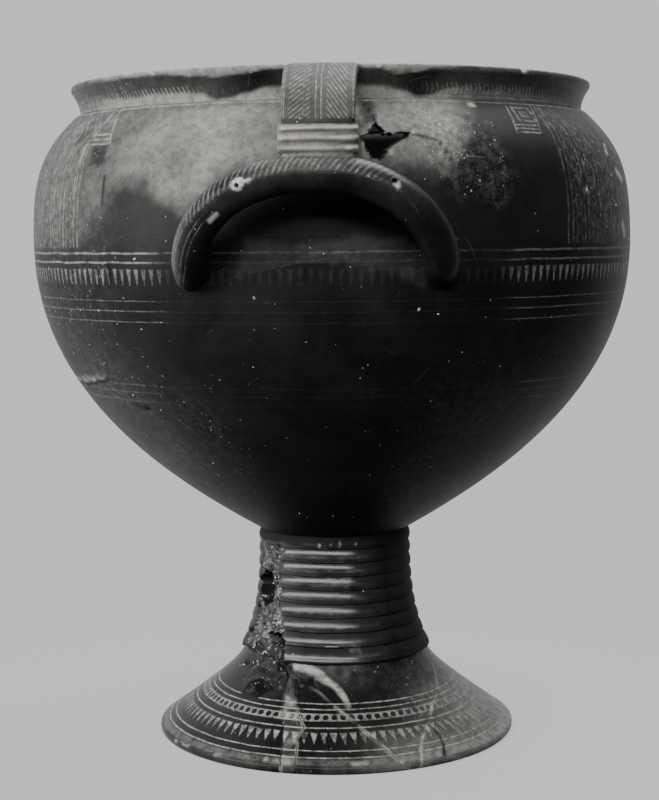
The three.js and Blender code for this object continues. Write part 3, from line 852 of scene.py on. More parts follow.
def collar_ornament(wall):
    level = level_of(wall, 0.4)
    lean = (level - 504).abs() * 0.13
    chevron = (wall.azimuth + lean).saw(360 / COLLAR_CHEVRONS).abs().fade(0.26, 0.14)
    return drawn_lines(level, NECK_LINES).most(chevron * level.within(500.6, 508, 0.5) * 0.75)


def plain_ornament(wall):
    return wall.height * 0


def foot_ornament(wall):
    level = level_of(wall, 0.35)
    mask = drawn_lines(level, FOOT_LINES, 0.25)
    middle = (DOT_BAND_FOOT + DOT_BAND_TOP) / 2
    dot = ((wall.azimuth.saw(360 / FOOT_DOTS) * 6.4) ** 2 + (level - middle) ** 2 * 2.1).math("SQRT")
    mask = mask.most(level.within(DOT_BAND_FOOT, DOT_BAND_TOP, 0.3) * dot.fade(1.9, 2.5) * 0.75)
    depth = (FOOT_TEETH_TOP - level) / (FOOT_TEETH_TOP - FOOT_TEETH_FOOT)
    tooth = (wall.azimuth + (level - 22) * 0.1).saw(360 / FOOT_TEETH).abs() + depth * 0.36
    teeth = tooth.fade(0.42, 0.32) * level.within(FOOT_TEETH_FOOT, FOOT_TEETH_TOP, 0.35)
    mask = mask.most(teeth * (wall.grain(5, detail=3).fade(0.34, 0.62) * 0.6 + 0.3))
    return mask.most(level.within(6.9, 10.2, 0.6) * 0.25)


# The bar's own measures: turn round it in degrees, 0 away from the wall, and way along it in mm
STROKE_PITCH = 3.95
STROKE_SLANT = 0.11
LEG_LINES = [-38, -22, 6, 22]


def loop_ornament(wall):
    """Slanting strokes over the bar's upper outer side, fading out towards +X, and long lines down its leg on the -X
    side.
    """
    turn, along = wall.painted("turn"), wall.painted("along")
    across = part_of(wall.tree, wall.place)[0]
    arch = wall.height.fade(405, 422)
    upper = turn + (wall.grain(12, detail=1) - 0.5) * 24
    upper = upper.fade(-128, -108) * upper.fade(-2, -20) * across.fade(66, 34)
    strokes = (along + turn * STROKE_SLANT).saw(STROKE_PITCH).abs().fade(0.28, 0.06) * upper * arch
    strokes = strokes * (wall.grain(7, detail=3).fade(0.34, 0.62) * 0.5 + 0.25)
    legs = None
    for middle in LEG_LINES:
        line = turn.line(middle, 2.2, 1.6)
        legs = line if legs is None else legs.most(line)
    return strokes.most(legs * (arch * -1 + 1) * across.fade(20, -20) * 0.4)


# The strap's own measures in mm: across it from its middle line, and down it from the lip
STRAP_BORDERS = [(-23.6, 0.4), (-22.2, 0.35), (23, 0.45)]
STRAP_CENTRE = [(-1.5, 0.45), (2, 0.45)]
STRAP_FIELDS = [(-19, -5.3, 0.8, 3.3), (5.7, 19.4, -1.4, 4.2)]
STRAP_PATTERN_FOOT = 478


def strap_ornament(wall):
    across, level = wall.painted("across"), wall.height
    stray = (wall.grain(14, detail=1) - 0.5) * 1.2
    face = level.above(STRAP_PATTERN_FOOT)
    mask = drawn_lines(across + stray, STRAP_BORDERS).most(drawn_lines(across + stray, STRAP_CENTRE))
    for left, right, slope, pitch in STRAP_FIELDS:
        stroke = (level - across * slope + stray).saw(pitch).abs().fade(0.27, 0.09)
        mask = mask.most(stroke * across.within(left, right, 0.5) * 0.85)
    mask = mask.most(across.line(-9.5, 0.35, 0.25) * 0.7)
    return mask * face * (wall.grain(3.5, detail=4).fade(0.36, 0.62) * 0.7 + 0.3)


def plaster_material(name, pale, dark, ornament):
    material, tree, shader = start_material(name)
    wall = Wall(tree)
    cloudy = wall.grain(15, detail=5, rough=0.65)
    fine = wall.grain(1.3, detail=4, rough=0.75)
    colour = blend_colour(tree, cloudy.fade(0.38, 0.6), pale, dark)
    colour = blend_colour(tree, fine.fade(0.5, 0.66) * 0.2, colour, CLAY_BARE)
    pattern = ornament(wall) * wall.painted("hold") * fine.fade(0.25, 0.4)
    colour = blend_colour(tree, pattern, colour, PAINT_FOOT)
    colour = blend_colour(tree, wall.painted("smear") * fine.fade(0.3, 0.5), colour, PLASTER_PALE)
    colour = blend_colour(tree, wall.painted("crack"), colour, DARK_MARKS_AND_SHADE)
    tree.links.new(colour, shader.inputs["Base Color"])
    shader.inputs["Roughness"].default_value = 0.8
    shader.inputs["Specular IOR Level"].default_value = 0.25
    pits = wall.cells(2.2).fade(0.25, 0) * -0.6
    tree.links.new(bump(tree, fine + pits, 0.7, 0.7), shader.inputs["Normal"])
    return material


# Pieces

def no_marks(points):
    return np.zeros(len(points))


def finish_piece(piece, material, node, slot, **marks):
    """Paints a piece's film and sheen, wear, smear, hold, and cracks and painted shade, and puts it in its node's
    place.
    """
    for name in ("film", "wear", "smear", "hold", "crack"):
        paint(piece, name, marks.get(name, no_marks))
    piece.data.materials.clear()
    piece.data.materials.append(material)
    for face in piece.data.polygons:
        face.material_index = 0
    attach(piece, "root")
    if node:
        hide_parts(node)


# Pale film on the shoulder, partly worn and partly painted sheen, with painted light under the front loop, and where
# it is thinner, stained dark or in painted shadow
SHOULDER_FILM_AND_SHEEN = [
    (-104, 389), (-47, 397), (-42, 418), (-37, 437), (-31, 441), (-27, 427), (-23, 424),
    (-14, 448), (12, 452), (23, 447), (26, 466), (30, 499), (-104, 499),
]
FILM_AND_SHEEN_BELOW = [
    (-60, 386), (-45, 392), (-20, 396), (-22, 446), (-36, 436), (-46, 420),
]
# Painted light: a patch on the wall under the front loop's crown, lit above the arch-shaped edge of the crown's
# shadow.
LIT_PATCH_UNDER_CROWN = [
    (-13.5, 375), (-8.3, 380.5), (-2.5, 385.5), (1.9, 387), (7.3, 383.6), (13.1, 375.2),
    (18.5, 364.7), (19.5, 384), (14, 402.5), (4, 400), (-4, 396), (-11.5, 402),
]
STAINS_AND_STRAP_SHADOW = [
    [(-46.4, 468), (-42, 468.5), (-41.3, 456), (-43, 452), (-46, 455)],
    [(-53.5, 486), (-50.5, 488), (-51, 474), (-54, 470)],
    # The next two are painted shadow beside the strap's right edge, not stains.
    [(6, 500), (8, 478), (7.5, 455), (4, 455), (4, 500)],
    [(8.2, 500), (11, 500), (10.4, 480), (8.2, 476)],
]
WORN_RIGHT = [(18, 488), (26, 486), (33, 474), (34, 440), (31, 424), (25, 426), (19, 448)]
WORN_EDGE = [(52, 480), (80, 470), (80, 380), (52, 395)]
HOLD_GAP = [(-29, 398), (-29, 320), (-60, 210), (60, 210), (36, 320), (34, 398)]
KEY_FIELD = [(37, 471), (49, 471), (50, 495), (37, 495)]
STAR_EDGE = broken_outline(SHOULDER_HOLE, 0.3)


def outside_wall(points):
    return radii_of(points) > wall_radius(points[:, 2]) - 3 * MM


def inner_dark_and_shade(points):
    """The inside of the bowl, painted matt and almost black as painted shade."""
    return (radii_of(points) < wall_radius(points[:, 2]) - 5 * MM) * 0.75


# Painted sheen and worn film on the shoulder, with painted reflection along the edges and low on the sides.
def body_film(points):
    front = to_front(points)
    main = zone(front, SHOULDER_FILM_AND_SHEEN, 24 * MM, 4.5 * MM, 2)
    azimuth = azimuths_of(front)
    side, right = smooth_step(azimuth, -27, -48), smooth_step(azimuth, 2, 14)
    film = main * (0.92 - 0.56 * side - 0.1 * right)
    film = np.maximum(film, 0.05 * zone(front, FILM_AND_SHEEN_BELOW, 26 * MM, 8 * MM, 3))
    # Painted reflection: pale bands towards the left and right edges.
    rim = 0.3 * smooth_step(azimuth, -62, -84) + 0.14 * smooth_step(azimuth, 64, 84)
    film = np.maximum(film, rim * smooth_step(front[:, 2], 0.26, 0.31))
    # Painted light under the front loop's crown.
    film = np.maximum(film, 0.1 * zone(points, LIT_PATCH_UNDER_CROWN, 5 * MM, 3 * MM, 4))
    # Stains, and painted shadow beside the strap, darken the film.
    for place, stain in enumerate(STAINS_AND_STRAP_SHADOW):
        film = film * (1 - 0.8 * zone(points, stain, 4 * MM, 1.5 * MM, 5 + place))
    cloud = 0.5 + 0.5 * lumps(front, 0.05, 12)
    # Painted reflection: pale haze low on the body's sides, more on the left.
    low = smooth_step(front[:, 2], 0.34, 0.22) * smooth_step(np.abs(azimuth), 12, 45)
    low = low + 0.35 * smooth_step(azimuth, -28, -60) * smooth_step(front[:, 2], 0.37, 0.33)
    film = film * (0.85 + 0.3 * lumps(points, 0.024, 6)) + 0.28 * low * cloud
    at_hole = near_path(points, STAR_EDGE, 0.1 * MM, 0.7 * MM, closed=True)
    return np.clip(film, 0, 1) * outside_wall(points) * (1 - at_hole)


def body_wear(points):
    front = to_front(points)
    wear = zone(front, WORN_RIGHT, 24 * MM, 9 * MM, 8)
    wear = np.maximum(wear, 0.55 * zone(front, WORN_EDGE, 30 * MM, 9 * MM, 9))
    left = smooth_step(azimuths_of(front), -30, -50) * smooth_step(front[:, 2], 0.22, 0.3)
    below = smooth_step(front[:, 2], 0.34, 0.26) * smooth_step(np.abs(azimuths_of(front)), 8, 30)
    wear = np.max([wear, 0.35 * left, 0.25 * below, np.full(len(points), 0.03)], axis=0)
    return wear * (0.75 + 0.5 * lumps(points, 0.03, 24)) * outside_wall(points)


def body_hold(points):
    """How strongly the ornament shows: faintly behind the handles and to their right."""
    front = to_front(points)
    azimuth, upper = azimuths_of(front), smooth_step(front[:, 2], 0.375, 0.385)
    hold = 1 - 0.93 * zone(front, HOLD_GAP, 26 * MM, 4 * MM, 10)
    hold = hold * (1 - 0.6 * smooth_step(azimuth, 18, 32) * upper)
    return np.maximum(hold, 0.68 * zone(front, KEY_FIELD, 4 * MM))


def bowl_piece():
    outer = bowl_outline()
    inner = trim_outline(offset_outline(outer, WALL), BOWL_BASE + BOWL_FLOOR, BELLY)[::-2]
    outline = np.vstack([[[0, BOWL_BASE]], outer, inner, [[0, BOWL_BASE + BOWL_FLOOR]]])
    piece = turned("krater_bowl", outline, 360, closed=False)
    moved(piece, hand_thrown(0.35 * MM))
    moved(piece, belly_chipped)
    return piece


BELLY_CHIP = [(-76, 293), (-66, 297), (-50, 301.5), (-52, 297.5), (-62, 292.5), (-74, 289)]
BELLY_PIT = [(-44, 279), (-41, 279.5), (-39.5, 277), (-42, 275.5)]
# A pale line along the lower edge of the painted light under the front loop's crown.
PALE_ARCH_LINE = [(-20.9, 367.6), (-14.4, 373.8), (-8.3, 380.1), (-2.5, 385), (1.9, 386.9)]


def belly_chipped(points):
    outside = radii_of(points) > wall_radius(points[:, 2]) - 3 * MM
    chip = zone(points, BELLY_CHIP, 2.5 * MM, 1 * MM, 21) * (1.2 + 0.6 * lumps(points, 0.008, 22))
    pit = zone(points, BELLY_PIT, 3 * MM) * 1.8
    return radial(points, -(chip + pit) * MM * outside)


def bowl_smear(points):
    return zone(points, BELLY_CHIP, 2.5 * MM, 1 * MM, 21) * (0.35 + 0.45 * lumps(points, 0.005, 23))


def bowl_cracks(points):
    foot = near_path(points, [(-76, 289), (-62, 291.5), (-50, 297)], 0.4 * MM, 2.2 * MM)
    gap = near_path(points, [(-39, 384), (-39.3, 366.3)], 0.6 * MM, 1.8 * MM)
    return np.max([foot, gap, zone(points, BELLY_PIT, 3 * MM), inner_dark_and_shade(points)], axis=0)


def shoulder_piece():
    outer = shoulder_outline()
    inner = trim_outline(offset_outline(outer, WALL), BELLY, NECK)[::-2]
    piece = turned("krater_shoulder", np.vstack([outer, inner]), 480)
    moved(piece, hand_thrown(0.35 * MM))
    cut(piece, radial_cutter("star", STAR_EDGE, 0.17, 0.26))
    return piece


WHITE_CHIPS = [
    # (share, full and gone distances in mm, then the corners)
    (0.85, 0.6, 1.8, [(30.6, 492.6), (31.6, 492.2)]), (1, 0.8, 1.8, [(17, 471.9), (17.5, 472.2)]),
    (0.6, 0.5, 1.5, [(12.6, 457.5), (12.9, 458.8)]), (0.6, 1, 3.5, [(68, 467), (67, 462)]),
    (0.7, 1, 4, [(70, 449), (73, 443)]), (0.6, 1.5, 4.5, [(70.5, 409), (72, 401)]),
    (0.5, 0.5, 2.5, [(54, 434.5), (54.4, 432)]),
]


def shoulder_smear(points):
    """White chips at the star's tips, under the collar and on the right."""
    chips = no_marks(points)
    for share, full, gone, path in WHITE_CHIPS:
        chips = np.maximum(chips, share * near_path(points, path, full * MM, gone * MM))
    return chips


SHOULDER_CRACKS = [
    [(-40.6, 446), (-40.4, 434), (-40.8, 421.5)],
    [(9.2, 491.4), (10.3, 484.1), (10.6, 479.1)],
    [(16.6, 471.4), (21.5, 466), (23.5, 452)],
]


def shoulder_cracks(points):
    # Painted shade: the star hole's broken edges are painted black.
    best = np.maximum(near_path(points, STAR_EDGE, 0.1 * MM, 0.6 * MM, closed=True), inner_dark_and_shade(points))
    for path in SHOULDER_CRACKS:
        best = np.maximum(best, 0.85 * near_path(points, path, 0.3 * MM, 1.5 * MM))
    return best


def collar_piece():
    outer = collar_outline()
    throat = NECK_RADIUS - COLLAR_WALL
    inner = [
        [LIP_RADIUS - LIP_EDGE_ROUND - LIP_TOP_WIDTH, LIP],
        [throat + (LIP_RADIUS - LIP_TOP_WIDTH - throat) * 0.3, LIP - COLLAR_THROAT_DROP * 0.35],
        [throat, LIP - COLLAR_THROAT_DROP], [throat, NECK],
    ]
    piece = turned("krater_collar", np.vstack([outer, inner]), 540)
    moved(piece, hand_thrown(0.35 * MM))
    moved(piece, lip_chipped)
    return piece


LIP_CHIPS = [(-35.1, 2.2), (45.2, 3.2), (12, 1), (-62, 1.4), (150, 2.4), (-118, 1.8)]


def lip_chip_share(points):
    """1 in the middle of each chip of the lip, which is (azimuth, half width in mm)."""
    share = no_marks(points)
    for azimuth, half in LIP_CHIPS:
        away = np.radians(np.abs(azimuths_of(points) - azimuth)) * LIP_RADIUS
        share = np.maximum(share, smooth_step(away, half * 1.3 * MM, half * 0.3 * MM))
    return share * smooth_step(points[:, 2], LIP - 4 * MM, LIP - 1 * MM) * (radii_of(points) > LIP_RADIUS - 6 * MM)


def lip_chipped(points):
    share = lip_chip_share(points)
    return radial(points, -1.2 * MM * share) - share[:, None] * [0, 0, 1.8 * MM]


def bell(values, middle, half):
    return np.exp(-(((values - middle) / half) ** 2))


# Painted sheen and shade on the collar: a bright band low on the neck with darker patches beside the handle, a pale
# glow along the lip's top, both brightest in front, and a thin even film that thins beside the handle.
def collar_film(points):
    front = to_front(points)
    azimuth = azimuths_of(front)
    wave = 1.6 * MM * lumps(front * [1, 1, 0], 0.026, 31) + 1.2 * MM * lumps(front * [1, 1, 0], 0.009, 32)
    blotch = 7 * MM * (bell(azimuth, -19, 5) + bell(azimuth, 21, 3.5))
    low = smooth_step(front[:, 2] + wave + blotch, NECK + 9.5 * MM, NECK + 5.5 * MM)
    bright = smooth_step(azimuth, -62, -48) * smooth_step(azimuth, 34, 18)
    worn = 2.2 * MM + 5 * MM * (bell(azimuth, -19, 9) + bell(azimuth, 17, 5)) + wave
    top = smooth_step(front[:, 2], LIP - worn - 0.8 * MM, LIP - worn + 0.8 * MM)
    dull = 0.16 * (1 - bell(azimuth, -12, 7) - bell(azimuth, 20, 5))
    film = low * (0.25 + 0.75 * bright) + top * (0.25 + 0.6 * bright) + dull
    return np.clip(film, 0, 1) * (radii_of(points) > wall_radius(points[:, 2]) - 2.5 * MM)


def collar_hold(points):
    """The collar's pattern shows on the left, less on the right, and hardly in the middle."""
    azimuth = azimuths_of(to_front(points))
    left, right = smooth_step(azimuth, -22, -30), smooth_step(azimuth, 20, 28)
    return 0.06 + 0.8 * left + 0.45 * right


def stem_tree(material):
    """The ribbed stem: a grid rolled round the axis, out over the ribs and back down the bore."""
    sizes = {
        "Base": STEM_BASE, "Top": BOWL_BASE, "Radius": STEM_RADIUS, "Foot radius": STEM_FOOT_RADIUS,
        "Spread": STEM_SPREAD, "Ribs": RIB_COUNT, "Rib depth": RIB_DEPTH, "Rib skew": RIB_SKEW,
        "Rib fullness": RIB_FULLNESS, "Fillet": RIB_FILLET, "Fillet place": RIB_FILLET_PLACE,
        "Bore radius": STEM_RADIUS - STEM_WALL, "Bore foot radius": FLARE_TOP_RADIUS - STEM_WALL,
        "Bore taper": BORE_TAPER, "Rib steps": 14, "Bore steps": 24, "Columns": 360,
    }
    tree, _, size = new_tree("ribbed_stem", sizes)
    outer_steps = size["Ribs"] * size["Rib steps"]
    rounds = outer_steps + size["Bore steps"] + 2
    grid = add(tree, "GeometryNodeMeshGrid", {
        "Size X": 1, "Size Y": 1, "Vertices X": size["Columns"] + 1, "Vertices Y": rounds + 1,
    })
    x, y, _ = part_of(tree, add(tree, "GeometryNodeInputPosition").outputs[0])
    angle = (x + 0.5) * (2 * math.pi)
    row = ((y + 0.5) * rounds).math("ROUND").math("MODULO", rounds)
    in_bore = row.above(outer_steps + 0.5)

    share = (row / outer_steps).least(1)
    across = (share * size["Ribs"]).least(size["Ribs"] - 0.0001).math("FRACT")
    crest = size["Radius"] + (size["Foot radius"] - size["Radius"]) * ((share * -1 + 1) ** size["Spread"])
    swell = ((across ** size["Rib skew"]) * math.pi).math("SINE").most(0) ** size["Rib fullness"]
    fillet = across.line(size["Fillet place"], 0.05, 0.045) * size["Fillet"] * (1.4 - share)
    # The lowest edge stays flush with the foot
    groove = size["Rib depth"] * (swell * -1 + 1) * (0.2 + 0.8 * (share * size["Ribs"]).fade(0, 0.25))
    outer = crest - groove + fillet

    fall = ((row - outer_steps - 1) / size["Bore steps"]).most(0)
    height = size["Top"] - size["Base"]
    taper = (1 - (1 - fall) * height / size["Bore taper"]).most(0)
    bore = size["Bore radius"] + (size["Bore foot radius"] - size["Bore radius"]) * taper
    radius = outer + (bore - outer) * in_bore
    level = share + (1 - fall - share) * in_bore
    place = joined_vector(
        tree, radius * angle.math("SINE"), radius * angle.math("COSINE") * -1, size["Base"] + height * level,
    )
    rolled = add(tree, "GeometryNodeSetPosition", {"Geometry": grid.outputs[0], "Position": place})
    merged = add(tree, "GeometryNodeMergeByDistance", {"Geometry": rolled.outputs[0], "Distance": 2e-6})
    end_tree(tree, merged.outputs[0], material)
    return tree, sizes


def stem_piece(material):
    tree, sizes = stem_tree(material)
    piece = grown("krater_stem", tree, sizes)
    closed_up(piece, 60)
    moved(piece, hand_thrown(0.25 * MM))
    moved(piece, gouged)
    for name, hole in (("upper_hole", STEM_HOLE_HIGH), ("lower_hole", STEM_HOLE_LOW)):
        cut(piece, radial_cutter(name, broken_outline(hole, 1.6), 0.03, 0.1), 60)
    return piece


def gouge_share(points):
    outside = radii_of(points) > STEM_RADIUS - 6 * MM
    return zone(points, STEM_GOUGE, 3 * MM, 6 * MM, 5) * outside


def gouged(points):
    radius, share = radii_of(points), gouge_share(points)
    crumbs = lumps(points, 0.0075, 2) + 0.6 * lumps(points, 0.0035, 7) + 0.4 * lumps(points, 0.0018, 8)
    worn_down = np.maximum(radius - STEM_RADIUS + 1.5 * MM, 0) * 0.25
    return radial(points, share * (crumbs * 1.3 * MM - worn_down - 1.1 * MM))


def stem_smear(points):
    """Plaster left in patches over the lost surface."""
    patches = lumps(points, 0.009, 41) + 0.5 * lumps(points, 0.003, 42)
    crumbs = zone(points, STEM_TOP_CRUMBS, 2 * MM) * smooth_step(lumps(points, 0.0032, 56), 0.25, 0.6)
    return np.maximum(gouge_share(points) * smooth_step(patches, 0.2, 0.8) * 0.35, 0.7 * crumbs)


STEM_TOP_CRUMBS = [(-16, 157), (-2, 158), (19, 156), (21, 162), (4, 164.5), (-14, 163)]
STEM_SHADE = [(-47, 80), (-34, 78), (-37, 67), (-45, 66)]


def stem_cracks(points):
    """Painted shade in the bore, under the bowl and on both sides, less on the left; dark patches over the lost
    surface, and the STEM_SHADE patch.
    """
    # Painted shade in the bore.
    bore = (radii_of(points) < STEM_RADIUS - 6 * MM) * 0.9
    dark_gouge_patches = gouge_share(points) * smooth_step(lumps(points, 0.012, 44), 0.05, 0.55)
    shade = 0.8 * zone(points, STEM_SHADE, 5 * MM, 2 * MM, 45)
    azimuth = azimuths_of(points)
    # Painted shade under the bowl.
    shade_under_bowl = 0.9 * smooth_step(points[:, 2] + 2 * MM * lumps(points, 0.01, 47), BOWL_BASE - 10 * MM, BOWL_BASE - 7 * MM)
    # Painted shade on both sides of the stem, less on the left.
    sides = 0.85 * smooth_step(np.abs(azimuth), 34, 58) * smooth_step(np.abs(azimuth), 125, 100)
    sides = sides * (1 - 0.35 * (azimuth < 0)) * (1 - gouge_share(points))
    return np.max([bore, dark_gouge_patches, shade, shade_under_bowl, sides], axis=0)


STEM_FILM = [
    [(-4, 134), (14.8, 133.5), (13, 126), (0, 125)], [(9.8, 80), (18.5, 80), (18, 76), (10.5, 76)],
]


def stem_film(points):
    azimuth = azimuths_of(points)
    rib = (points[:, 2] - STEM_BASE) / (BOWL_BASE - STEM_BASE) * RIB_COUNT
    front = smooth_step(azimuth, -60, -40) * smooth_step(azimuth, 42, 14)
    worn = 0.5 + 0.5 * lumps(points * [1, 1, 2], 0.007, 48)
    # Painted highlight: pale lines along the ribs' crests and fillets in front.
    lines = bell(rib % 1, 0.46, 0.13) + 0.8 * bell(rib % 1, 0.16, 0.06)
    film = 0.03 + 0.03 * lumps(points, 0.02, 14) + 0.3 * lines * front * worn
    for patch in STEM_FILM:
        film = np.maximum(film, 0.3 * zone(points, patch, 4 * MM, 2 * MM, 15))
    return np.clip(film, 0, 1)


def crumb_tree(material):
    """Small broken crumbs, scattered over a surface where its crumbled attribute is high."""
    sizes = {"Density": 42000.0, "Least": 0.3 * MM, "Most": 1.6 * MM, "Seed": 11}
    tree, surface, size = new_tree("plaster_crumbs", sizes)
    share = add(tree, "GeometryNodeInputNamedAttribute", {"Name": "crumbled"}, data_type="FLOAT")
    share = Field(tree, share.outputs[0])
    spread = add(tree, "GeometryNodeDistributePointsOnFaces", {
        "Mesh": surface, "Density": share ** 3 * size["Density"], "Seed": size["Seed"],
    })
    crumb = add(tree, "GeometryNodeMeshIcoSphere", {"Radius": 1, "Subdivisions": 1})
    reach = add(tree, "FunctionNodeRandomValue", {
        2: size["Least"], 3: size["Most"], "Seed": size["Seed"] + 1,
    }, data_type="FLOAT").outputs[1]
    turn = add(tree, "FunctionNodeRandomValue", {
        0: (0, 0, 0), 1: (6.28, 6.28, 6.28), "Seed": size["Seed"] + 2,
    }, data_type="FLOAT_VECTOR").outputs[0]
    flat = vector_math(tree, "SCALE", (1, 0.75, 0.55), Scale=reach)
    turned_crumbs = add(tree, "GeometryNodeInstanceOnPoints", {
        "Points": spread.outputs["Points"], "Instance": crumb.outputs[0],
        "Rotation": add(tree, "FunctionNodeEulerToRotation", {0: turn}).outputs[0], "Scale": flat,
    })
    end_tree(tree, turned_crumbs.outputs[0], material)
    return tree, sizes


def crumbs_on(name, piece, share, material):
    """Crumbs on a piece where share(points) is high."""
    tree, sizes = crumb_tree(material)
    start = piece.data.copy()
    layer = start.attributes.new("crumbled", "FLOAT", "POINT")
    layer.data.foreach_set("value", np.ascontiguousarray(share(points_of(piece)), dtype=np.float32))
    return grown(name, tree, sizes, start)


# Lime grains and small white chips on the wall, as (azimuth, height, reach in mm)
LIME_GRAINS = [
    (-53.5, 349.1, 1.1), (-49.7, 350.3, 1), (-43.8, 350.6, 1.2), (-39.1, 350.7, 1), (-28, 352.2, 0.9),
    (-28.7, 343.5, 1), (-33.5, 338, 1), (-36.3, 360, 0.9), (-60.2, 316.2, 1), (-50.5, 324.4, 0.8),
    (-48.5, 309.7, 1), (-41.1, 326.3, 0.8), (-35.2, 317.8, 0.9), (-32.7, 387.7, 1.6), (-6.9, 356.7, 0.9),
    (20.9, 348.3, 1.2), (17.4, 352, 1.7), (-10.4, 361, 1.8), (-7.2, 340.1, 0.8), (-12, 312.5, 0.9),
    (-2, 330.3, 0.8), (-17.3, 272.6, 0.8), (12.8, 227.3, 0.8), (30.6, 357, 0.9), (30.1, 345.2, 0.9),
    (49.9, 316.5, 1), (35.8, 309.2, 0.8), (26.6, 320.9, 0.8), (7.7, 304.3, 0.7), (-31.8, 235.1, 0.9),
    (-33.8, 224.3, 0.9), (-25.7, 263.6, 0.8), (-43.3, 287.5, 1.1), (-37, 277.2, 0.8), (-22.6, 298.5, 0.7),
    (-12.7, 191.3, 0.9), (-10.1, 187.3, 0.8), (2, 188.6, 0.8), (67.5, 465.8, 1.8), (65.6, 445.3, 1.5),
    (66.1, 423.1, 1.4), (58.5, 415.5, 1.3), (48.2, 461.6, 1), (54, 433.4, 1.2), (14.8, 496.5, 1),
    (24.6, 495.5, 1.1), (17.6, 472.8, 1.1), (31.1, 492.4, 1.6),
]


def grain_tree(material):
    """Flattened grains on given points, each as big as its reach attribute and facing outwards."""
    sizes = {"Flatness": 0.3, "Narrowness": 0.62, "Seed": 4}
    tree, points, size = new_tree("lime_grains", sizes)
    reach = add(tree, "GeometryNodeInputNamedAttribute", {"Name": "reach"}, data_type="FLOAT").outputs[0]
    place = add(tree, "GeometryNodeInputPosition").outputs[0]
    outward = vector_math(tree, "MULTIPLY", place, (1, 1, 0))
    facing = add(tree, "FunctionNodeAlignRotationToVector", {"Vector": outward}, axis="Z")
    spin = add(tree, "FunctionNodeRandomValue", {
        0: (0, 0, 0), 1: (0, 0, 6.28), "Seed": size["Seed"],
    }, data_type="FLOAT_VECTOR").outputs[0]
    spin = add(tree, "FunctionNodeEulerToRotation", {0: spin}).outputs[0]
    turn = add(tree, "FunctionNodeRotateRotation", {0: facing.outputs[0], 1: spin}, rotation_space="LOCAL")
    grain = add(tree, "GeometryNodeMeshIcoSphere", {"Radius": 1, "Subdivisions": 1})
    shape = joined_vector(tree, 1, size["Narrowness"], size["Flatness"])
    shape = vector_math(tree, "SCALE", shape, Scale=reach)
    laid = add(tree, "GeometryNodeInstanceOnPoints", {
        "Points": points, "Instance": grain.outputs[0], "Rotation": turn.outputs[0], "Scale": shape,
    })
    end_tree(tree, laid.outputs[0], material)
    return tree, sizes


def lime_grains(material):
    start = bpy.data.meshes.new("grain_places")
    vertices, reaches = [], []
    for azimuth, height, reach in LIME_GRAINS:
        radius, angle = float(wall_radius(height * MM)), math.radians(azimuth)
        vertices.append((radius * math.sin(angle), -radius * math.cos(angle), height * MM))
        reaches.append(reach * MM)
    start.from_pydata(vertices, [], [])
    start.attributes.new("reach", "FLOAT", "POINT").data.foreach_set("value", reaches)
    tree, sizes = grain_tree(material)
    return grown("lime_grains", tree, sizes, start)


# Foot

def break_azimuth(path, height):
    azimuths, heights = zip(*path)
    return np.interp(height / MM, heights, azimuths)


def jagged(which, height):
    """Azimuth of a break at a height, with the small jags of broken clay."""
    seed = BREAK_SEEDS[which]
    jag = [0.9 * noise.noise(Vector((h * 260, seed, 0))) for h in np.atleast_1d(height)]
    return break_azimuth(BREAK_PATHS[which], height) + np.array(jag)


def break_side(which, side):
    """A function giving one side of a break, standing back by half a gap."""
    return lambda heights: jagged(which, heights) + side * BREAK_GAP


def as_path(which):
    """A break as corners of azimuth and height, with its jags."""
    top = WEDGE_TOP if which == "fill_right" else STEM_BASE
    heights = np.linspace(0, top, 69)
    return list(zip(jagged(which, heights), heights / MM))


def trim_band(points, top):
    if top >= STEM_BASE:
        return points
    order = np.argsort(points[:, 1], kind="stable")
    radius = np.interp(top, points[order, 1], points[order, 0])
    return np.vstack([points[points[:, 1] < top - 0.2 * MM], [radius, top]])


def sherd(name, left, right, top, density):
    """The part of the flared foot between two breaks, up to a level."""
    rows = 90
    outer, inner = [resampled(trim_band(outline, top), rows) for outline in flare_outline()]
    outline = np.vstack([outer, inner[::-1]])
    start, stop = left(outline[:, 1]), right(outline[:, 1])
    columns = max(6, int(np.max(stop - start) * density))
    share = np.linspace(0, 1, columns + 1)[:, None]
    azimuth = np.radians(start + (stop - start) * share)
    x, y = outline[:, 0] * np.sin(azimuth), -outline[:, 0] * np.cos(azimuth)
    z = np.broadcast_to(outline[:, 1], x.shape)
    count = len(outline)
    faces = rings_joined(columns + 1, count)
    for end in (0, columns * count):
        for row in range(rows - 1):
            faces.append((end + row, end + row + 1, end + count - 2 - row, end + count - 1 - row))
    piece = new_piece(name, np.stack([x, y, z], axis=2).reshape(-1, 3), faces)
    moved(piece, hand_thrown(0.3 * MM))
    moved(piece, worn_breaks)
    moved(piece, foot_crumbled)
    return piece


FOOT_CRUMBLE = [
    [(-66, 59), (-48, 66), (-29, 67.5), (-24, 62), (-27, 52), (-37, 56), (-48, 54)],
    [(-49, 49), (-41, 53.5), (-33, 48), (-38, 42.5), (-47, 43)],
    [(-19, 55), (-10, 57.5), (-7, 51), (-17, 50)],
]


def foot_crumble_share(points):
    outside = radii_of(points) > flare_outer_radius(points[:, 2]) - 2 * MM
    share = np.max([zone(points, patch, 2.5 * MM, 2.5 * MM, 51) for patch in FOOT_CRUMBLE], axis=0)
    return share * outside


def foot_crumbled(points):
    rough = lumps(points, 0.006, 52) + 0.6 * lumps(points, 0.003, 53)
    return radial(points, foot_crumble_share(points) * (rough - 1) * 1.1 * MM)


def break_distance(points):
    return np.min([distance_to_path(points, as_path(which)) for which in BREAK_PATHS], axis=0)


